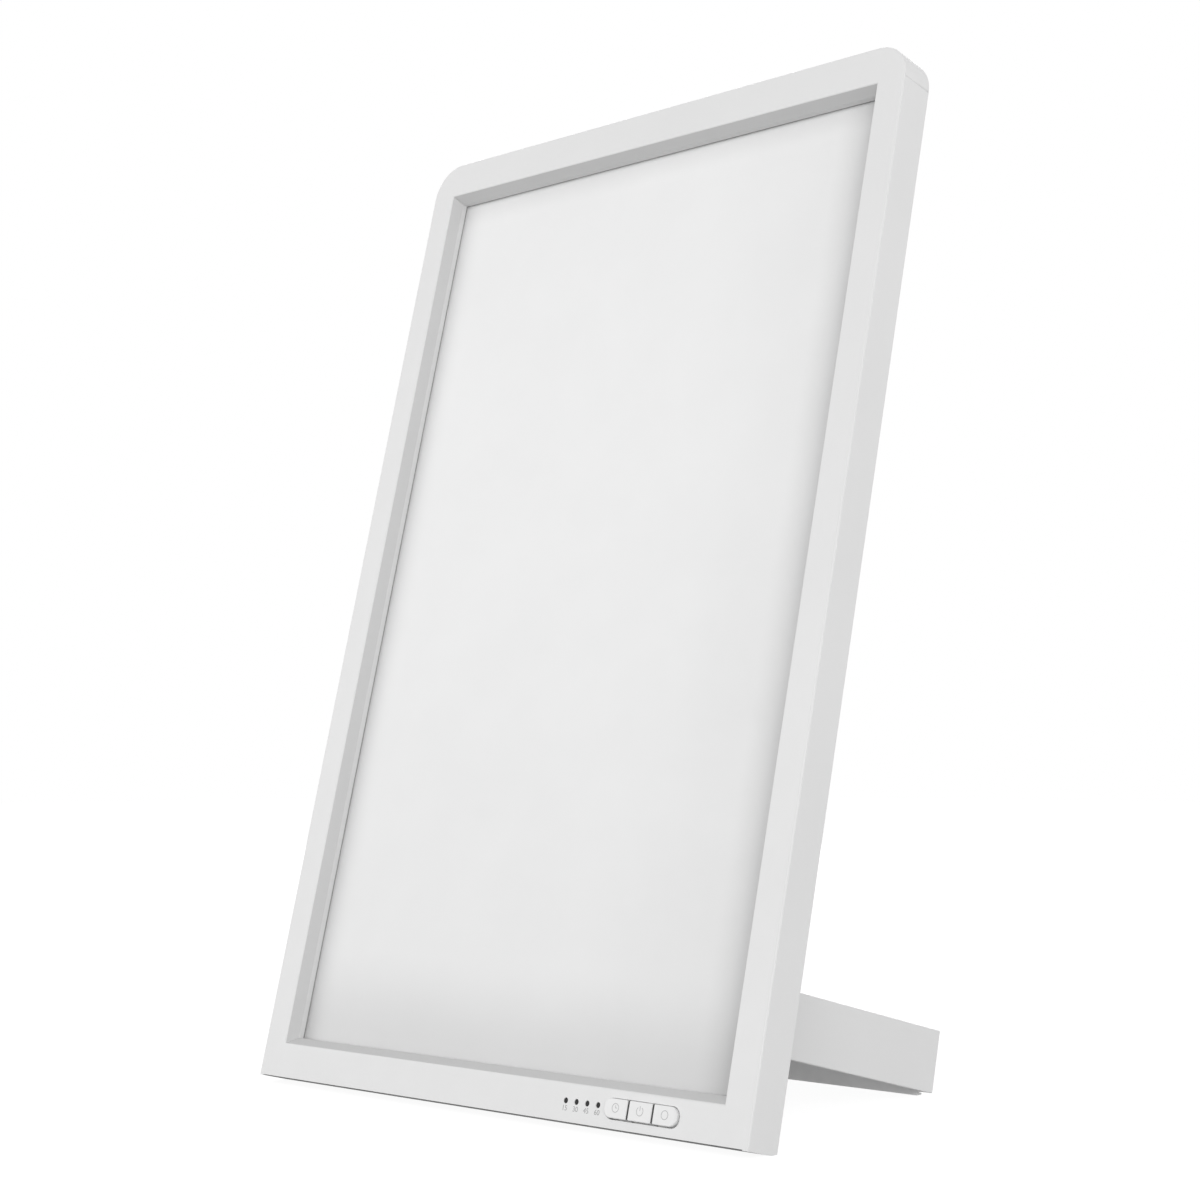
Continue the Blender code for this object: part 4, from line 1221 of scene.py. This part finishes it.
tray = {
    "half": 89.6,
    "front": 15.8,
    "rear": 151.4,
    "low": 35.0,
    "high": 58.9,
    "cornerRadius": 8.0,
    "sideWall": 2.6,
    "topWall": 2.0,
    "rearWall": 2.0,
    "rearRound": 0.6,
    "edgeRound": 0.35,
    "ribs": (-53.76, 0, 53.76),
    "ribHalf": 0.8,
    "ribTall": 3,
    "bossLong": 3,
    "bossRadius": 5.0,
    "slotSide": 0.6,  # the play of the slots that the lugs stand in
    "slotRear": 0.7,
    "boreInside": 3.2,
    "boreOutside": 1.1,
    "boreLong": 4.3,
}


def makeTray():
    t, h = tray, hinge
    bm = bmesh.new()
    block(bm, (-t["half"], t["half"]), (t["front"], t["rear"]), (t["low"], t["high"]))
    corner = edgesWhere(bm, lambda co: near(co.y, t["front"]) and near(co.z, t["high"]))
    bevelEdges(bm, corner, t["cornerRadius"], 16)
    lowest = set(edgesAt(bm, 2, t["low"]))
    rear = edgesAt(bm, 1, t["rear"])
    bevelEdges(bm, [e for e in rear if e not in lowest], t["rearRound"], 3)
    openSides = set(edgesAt(bm, 2, t["low"]))
    openSides |= set(edgesAt(bm, 1, t["front"]))
    outline = [e for e in sharpEdges(bm.edges) if e not in openSides]
    bevelEdges(bm, outline, t["edgeRound"], 2)
    innerHalf = t["half"] - t["sideWall"]
    innerRear = t["rear"] - t["rearWall"]
    hollow = bmesh.new()
    block(
        hollow,
        (-innerHalf, innerHalf),
        (t["front"] - overrun, innerRear),
        (t["low"] - overrun, t["high"] - t["topWall"]),
    )
    bm = combine(bm, hollow)
    underside = t["high"] - t["topWall"]
    ribs = bmesh.new()
    for x in t["ribs"]:
        block(
            ribs,
            (x - t["ribHalf"], x + t["ribHalf"]),
            (h["y"] + t["cornerRadius"], innerRear + sink),
            (underside - t["ribTall"], underside + sink),
        )
    bm = combine(bm, ribs, "UNION")
    bosses = bmesh.new()
    for side in (-1, 1):
        start = min(side * (innerHalf - t["bossLong"]), side * (innerHalf + sink))
        place = (start, h["y"], h["z"])
        rod(bosses, place, t["bossLong"] + sink, t["bossRadius"], along="X", sides=40)
    bm = combine(bm, bosses, "UNION")
    cuts = bmesh.new()
    for side in (-1, 1):
        block(
            cuts,
            (side * (h["lugX"][0] - t["slotSide"]), side * (h["lugX"][1] + t["slotSide"])),
            (t["front"] - overrun, h["y"] + h["lugRadius"] + t["slotRear"]),
            (h["z"], t["high"] + overrun),
        )
    bm = combine(bm, cuts)
    cuts = bmesh.new()
    for side in (-1, 1):
        inside, outside = innerHalf - t["boreInside"], innerHalf + t["boreOutside"]
        place = (min(side * inside, side * outside), h["y"], h["z"])
        rod(cuts, place, t["boreLong"], h["pinRadius"] + h["gap"], along="X", sides=32)
    bm = combine(bm, cuts)
    lower = edgesAt(bm, 2, t["low"])
    bevelEdges(bm, sharpEdges(lower, 60), t["edgeRound"], 2)
    addPiece("standTray", bm, mouldedAbs, "stand", "white_abs", "stand_shell")


makeTray()

foot = {
    "half": 84.8,
    "front": 148.0,
    "leg": 1.1,
    "low": 33.3,
    "legTall": 11.5,
    "soleTop": 34.7,
    "rear": 151.0,
    "edgeRound": 0.18,
}


def makeFoot():
    f = foot
    bm = bmesh.new()
    xs = (-f["half"], f["half"])
    block(bm, xs, (f["front"], f["front"] + f["leg"]), (f["low"], f["low"] + f["legTall"]))
    sole = bmesh.new()
    block(sole, xs, (f["front"] + f["leg"] / 2, f["rear"]), (f["low"], f["soleTop"]))
    bm = combine(bm, sole, "UNION")
    bevelEdges(bm, sharpEdges(bm.edges), f["edgeRound"], 2)
    bm = combine(bm, tableCutter())
    addPiece("standFoot", bm, greyRubber, "stand", "grey_rubber", "stand_foot")


makeFoot()


def makeHinge(side, label):
    h = hinge

    def bar(a, b, length, radius, sides=32):
        # a rod on the hinge's axis, from the lesser of a and b
        made = bmesh.new()
        rod(made, (min(a, b), h["y"], h["z"]), length, radius, along="X", sides=sides)
        return made

    head = side * (h["lugX"][0] - h["headPlay"])
    outer = head - side * h["headTall"]
    bm = bar(head, head + side * h["pinLength"], h["pinLength"], h["pinRadius"])
    cap = bar(head, outer, h["headTall"], h["headRadius"], 40)
    bevelEdges(cap, edgesAt(cap, 0, outer), h["headRound"], 4)
    bm = combine(bm, cap, "UNION")
    deep = h["keyDeep"]
    key = bar(outer - side * sink, outer + side * deep, sink + deep, h["keyRadius"], 6)
    bm = combine(bm, key)
    addPiece(f"hingePin{label}", bm, zincSteel, "stand", "steel", f"hinge_pin_{label.lower()}")
    start = min(side * h["washer"][0], side * h["washer"][1])
    thick = h["washerThick"]
    washer = bar(start, start, thick, h["washerRadius"], 48)
    front = start - overrun
    washer = combine(washer, bar(front, front, thick + 2 * overrun, h["pinRadius"] + h["gap"]))
    bevelEdges(washer, sharpEdges(washer.edges), h["washerRound"], 2)
    node = f"friction_washer_{label.lower()}"
    addPiece(f"frictionWasher{label}", washer, naturalNylon, "stand", "nylon", node)


makeHinge(-1, "Left")
makeHinge(1, "Right")
print("stand made")


# Floor, world, lamps and camera

studio = {
    "floorSize": 12.0,
    "floorColour": "#7C7C7C",
    "floorGlow": 0.22,  # a light table's own light, for what faces down
    "floorSeen": 0.92,  # the same where the camera sees it, near white before the lamps
    "skyLevel": 0.42,  # what the sky gives surfaces; the camera sees 1, white
}


def seenRay(tree):
    # 1 for what the camera sees, straight or in a reflection or through glass
    rays = addNode(tree, "ShaderNodeLightPath")
    seen = rays.outputs["Is Camera Ray"]
    for ray in ("Is Glossy Ray", "Is Transmission Ray"):
        pair = {0: seen, 1: rays.outputs[ray]}
        seen = addNode(tree, "ShaderNodeMath", {"operation": "MAXIMUM"}, pair).outputs[0]
    return seen


def makeFloor():
    bm = bmesh.new()
    bmesh.ops.create_grid(bm, x_segments=1, y_segments=1, size=studio["floorSize"] / 2)
    mesh = bpy.data.meshes.new("floor")
    bm.to_mesh(mesh)
    bm.free()
    floor = newObject("floor", mesh)
    material = bpy.data.materials.new("opalTableTop")
    material.use_nodes = True
    tree = material.node_tree
    shader = tree.nodes["Principled BSDF"]
    shader.inputs["Base Color"].default_value = linearColour(studio["floorColour"])
    shader.inputs["Roughness"].default_value = 1.0
    shader.inputs["Specular IOR Level"].default_value = 0.0
    shader.inputs["Emission Color"].default_value = (1, 1, 1, 1)
    level = addNode(
        tree,
        "ShaderNodeMapRange",
        {"To Min": studio["floorGlow"], "To Max": studio["floorSeen"]},
        {"Value": seenRay(tree)},
    )
    tree.links.new(level.outputs["Result"], shader.inputs["Emission Strength"])
    mesh.materials.append(material)


def makeWorld():
    world = bpy.data.worlds.new("studioSky")
    bpy.context.scene.world = world
    world.use_nodes = True
    tree = world.node_tree
    background = tree.nodes["Background"]
    background.inputs["Color"].default_value = (1, 1, 1, 1)
    level = addNode(
        tree,
        "ShaderNodeMapRange",
        {"To Min": studio["skyLevel"], "To Max": 1.0},
        {"Value": seenRay(tree)},
    )
    tree.links.new(level.outputs["Result"], background.inputs["Strength"])


lampAim = Vector((0, 0, 0.2))
lampSide = 1.5  # each is a square of this many metres
lamps = {
    # name: place, power in watts
    "frontRight": ((1.7, -1.7, 0.7), 26),
    "frontLeft": ((-1.7, -1.7, 0.9), 18.5),
    "right": ((2.4, 0.1, 0.8), 6.5),
    "rearRight": ((1.8, 1.6, 0.8), 5),
    "rearLeft": ((-1.6, 1.8, 1.0), 26),
}


def makeLamps():
    for name, (place, power) in lamps.items():
        light = bpy.data.lights.new(name, "AREA")
        light.shape = "RECTANGLE"
        light.size = lampSide
        light.size_y = lampSide
        light.energy = power
        holder = newObject(name, light)
        holder.location = place
        holder.rotation_euler = (lampAim - Vector(place)).to_track_quat("-Z", "Y").to_euler()


view = {
    "place": (0.591035, -0.627037, 0.126716),
    "turn": (94.2969, 0.0662, 44.0394),
    "lens": 65.806,
    "sensor": 36.0,
    "clip": (0.01, 50),
}


def makeCamera():
    data = bpy.data.cameras.new("photoCamera")
    data.lens = view["lens"]
    data.sensor_width = view["sensor"]
    data.sensor_fit = "HORIZONTAL"
    data.clip_start, data.clip_end = view["clip"]
    camera = newObject("photoCamera", data)
    camera.location = view["place"]
    camera.rotation_euler = [math.radians(angle) for angle in view["turn"]]
    bpy.context.scene.camera = camera


makeFloor()
makeWorld()
makeLamps()
makeCamera()
bpy.context.scene.view_settings.view_transform = "Standard"
print("studio made")
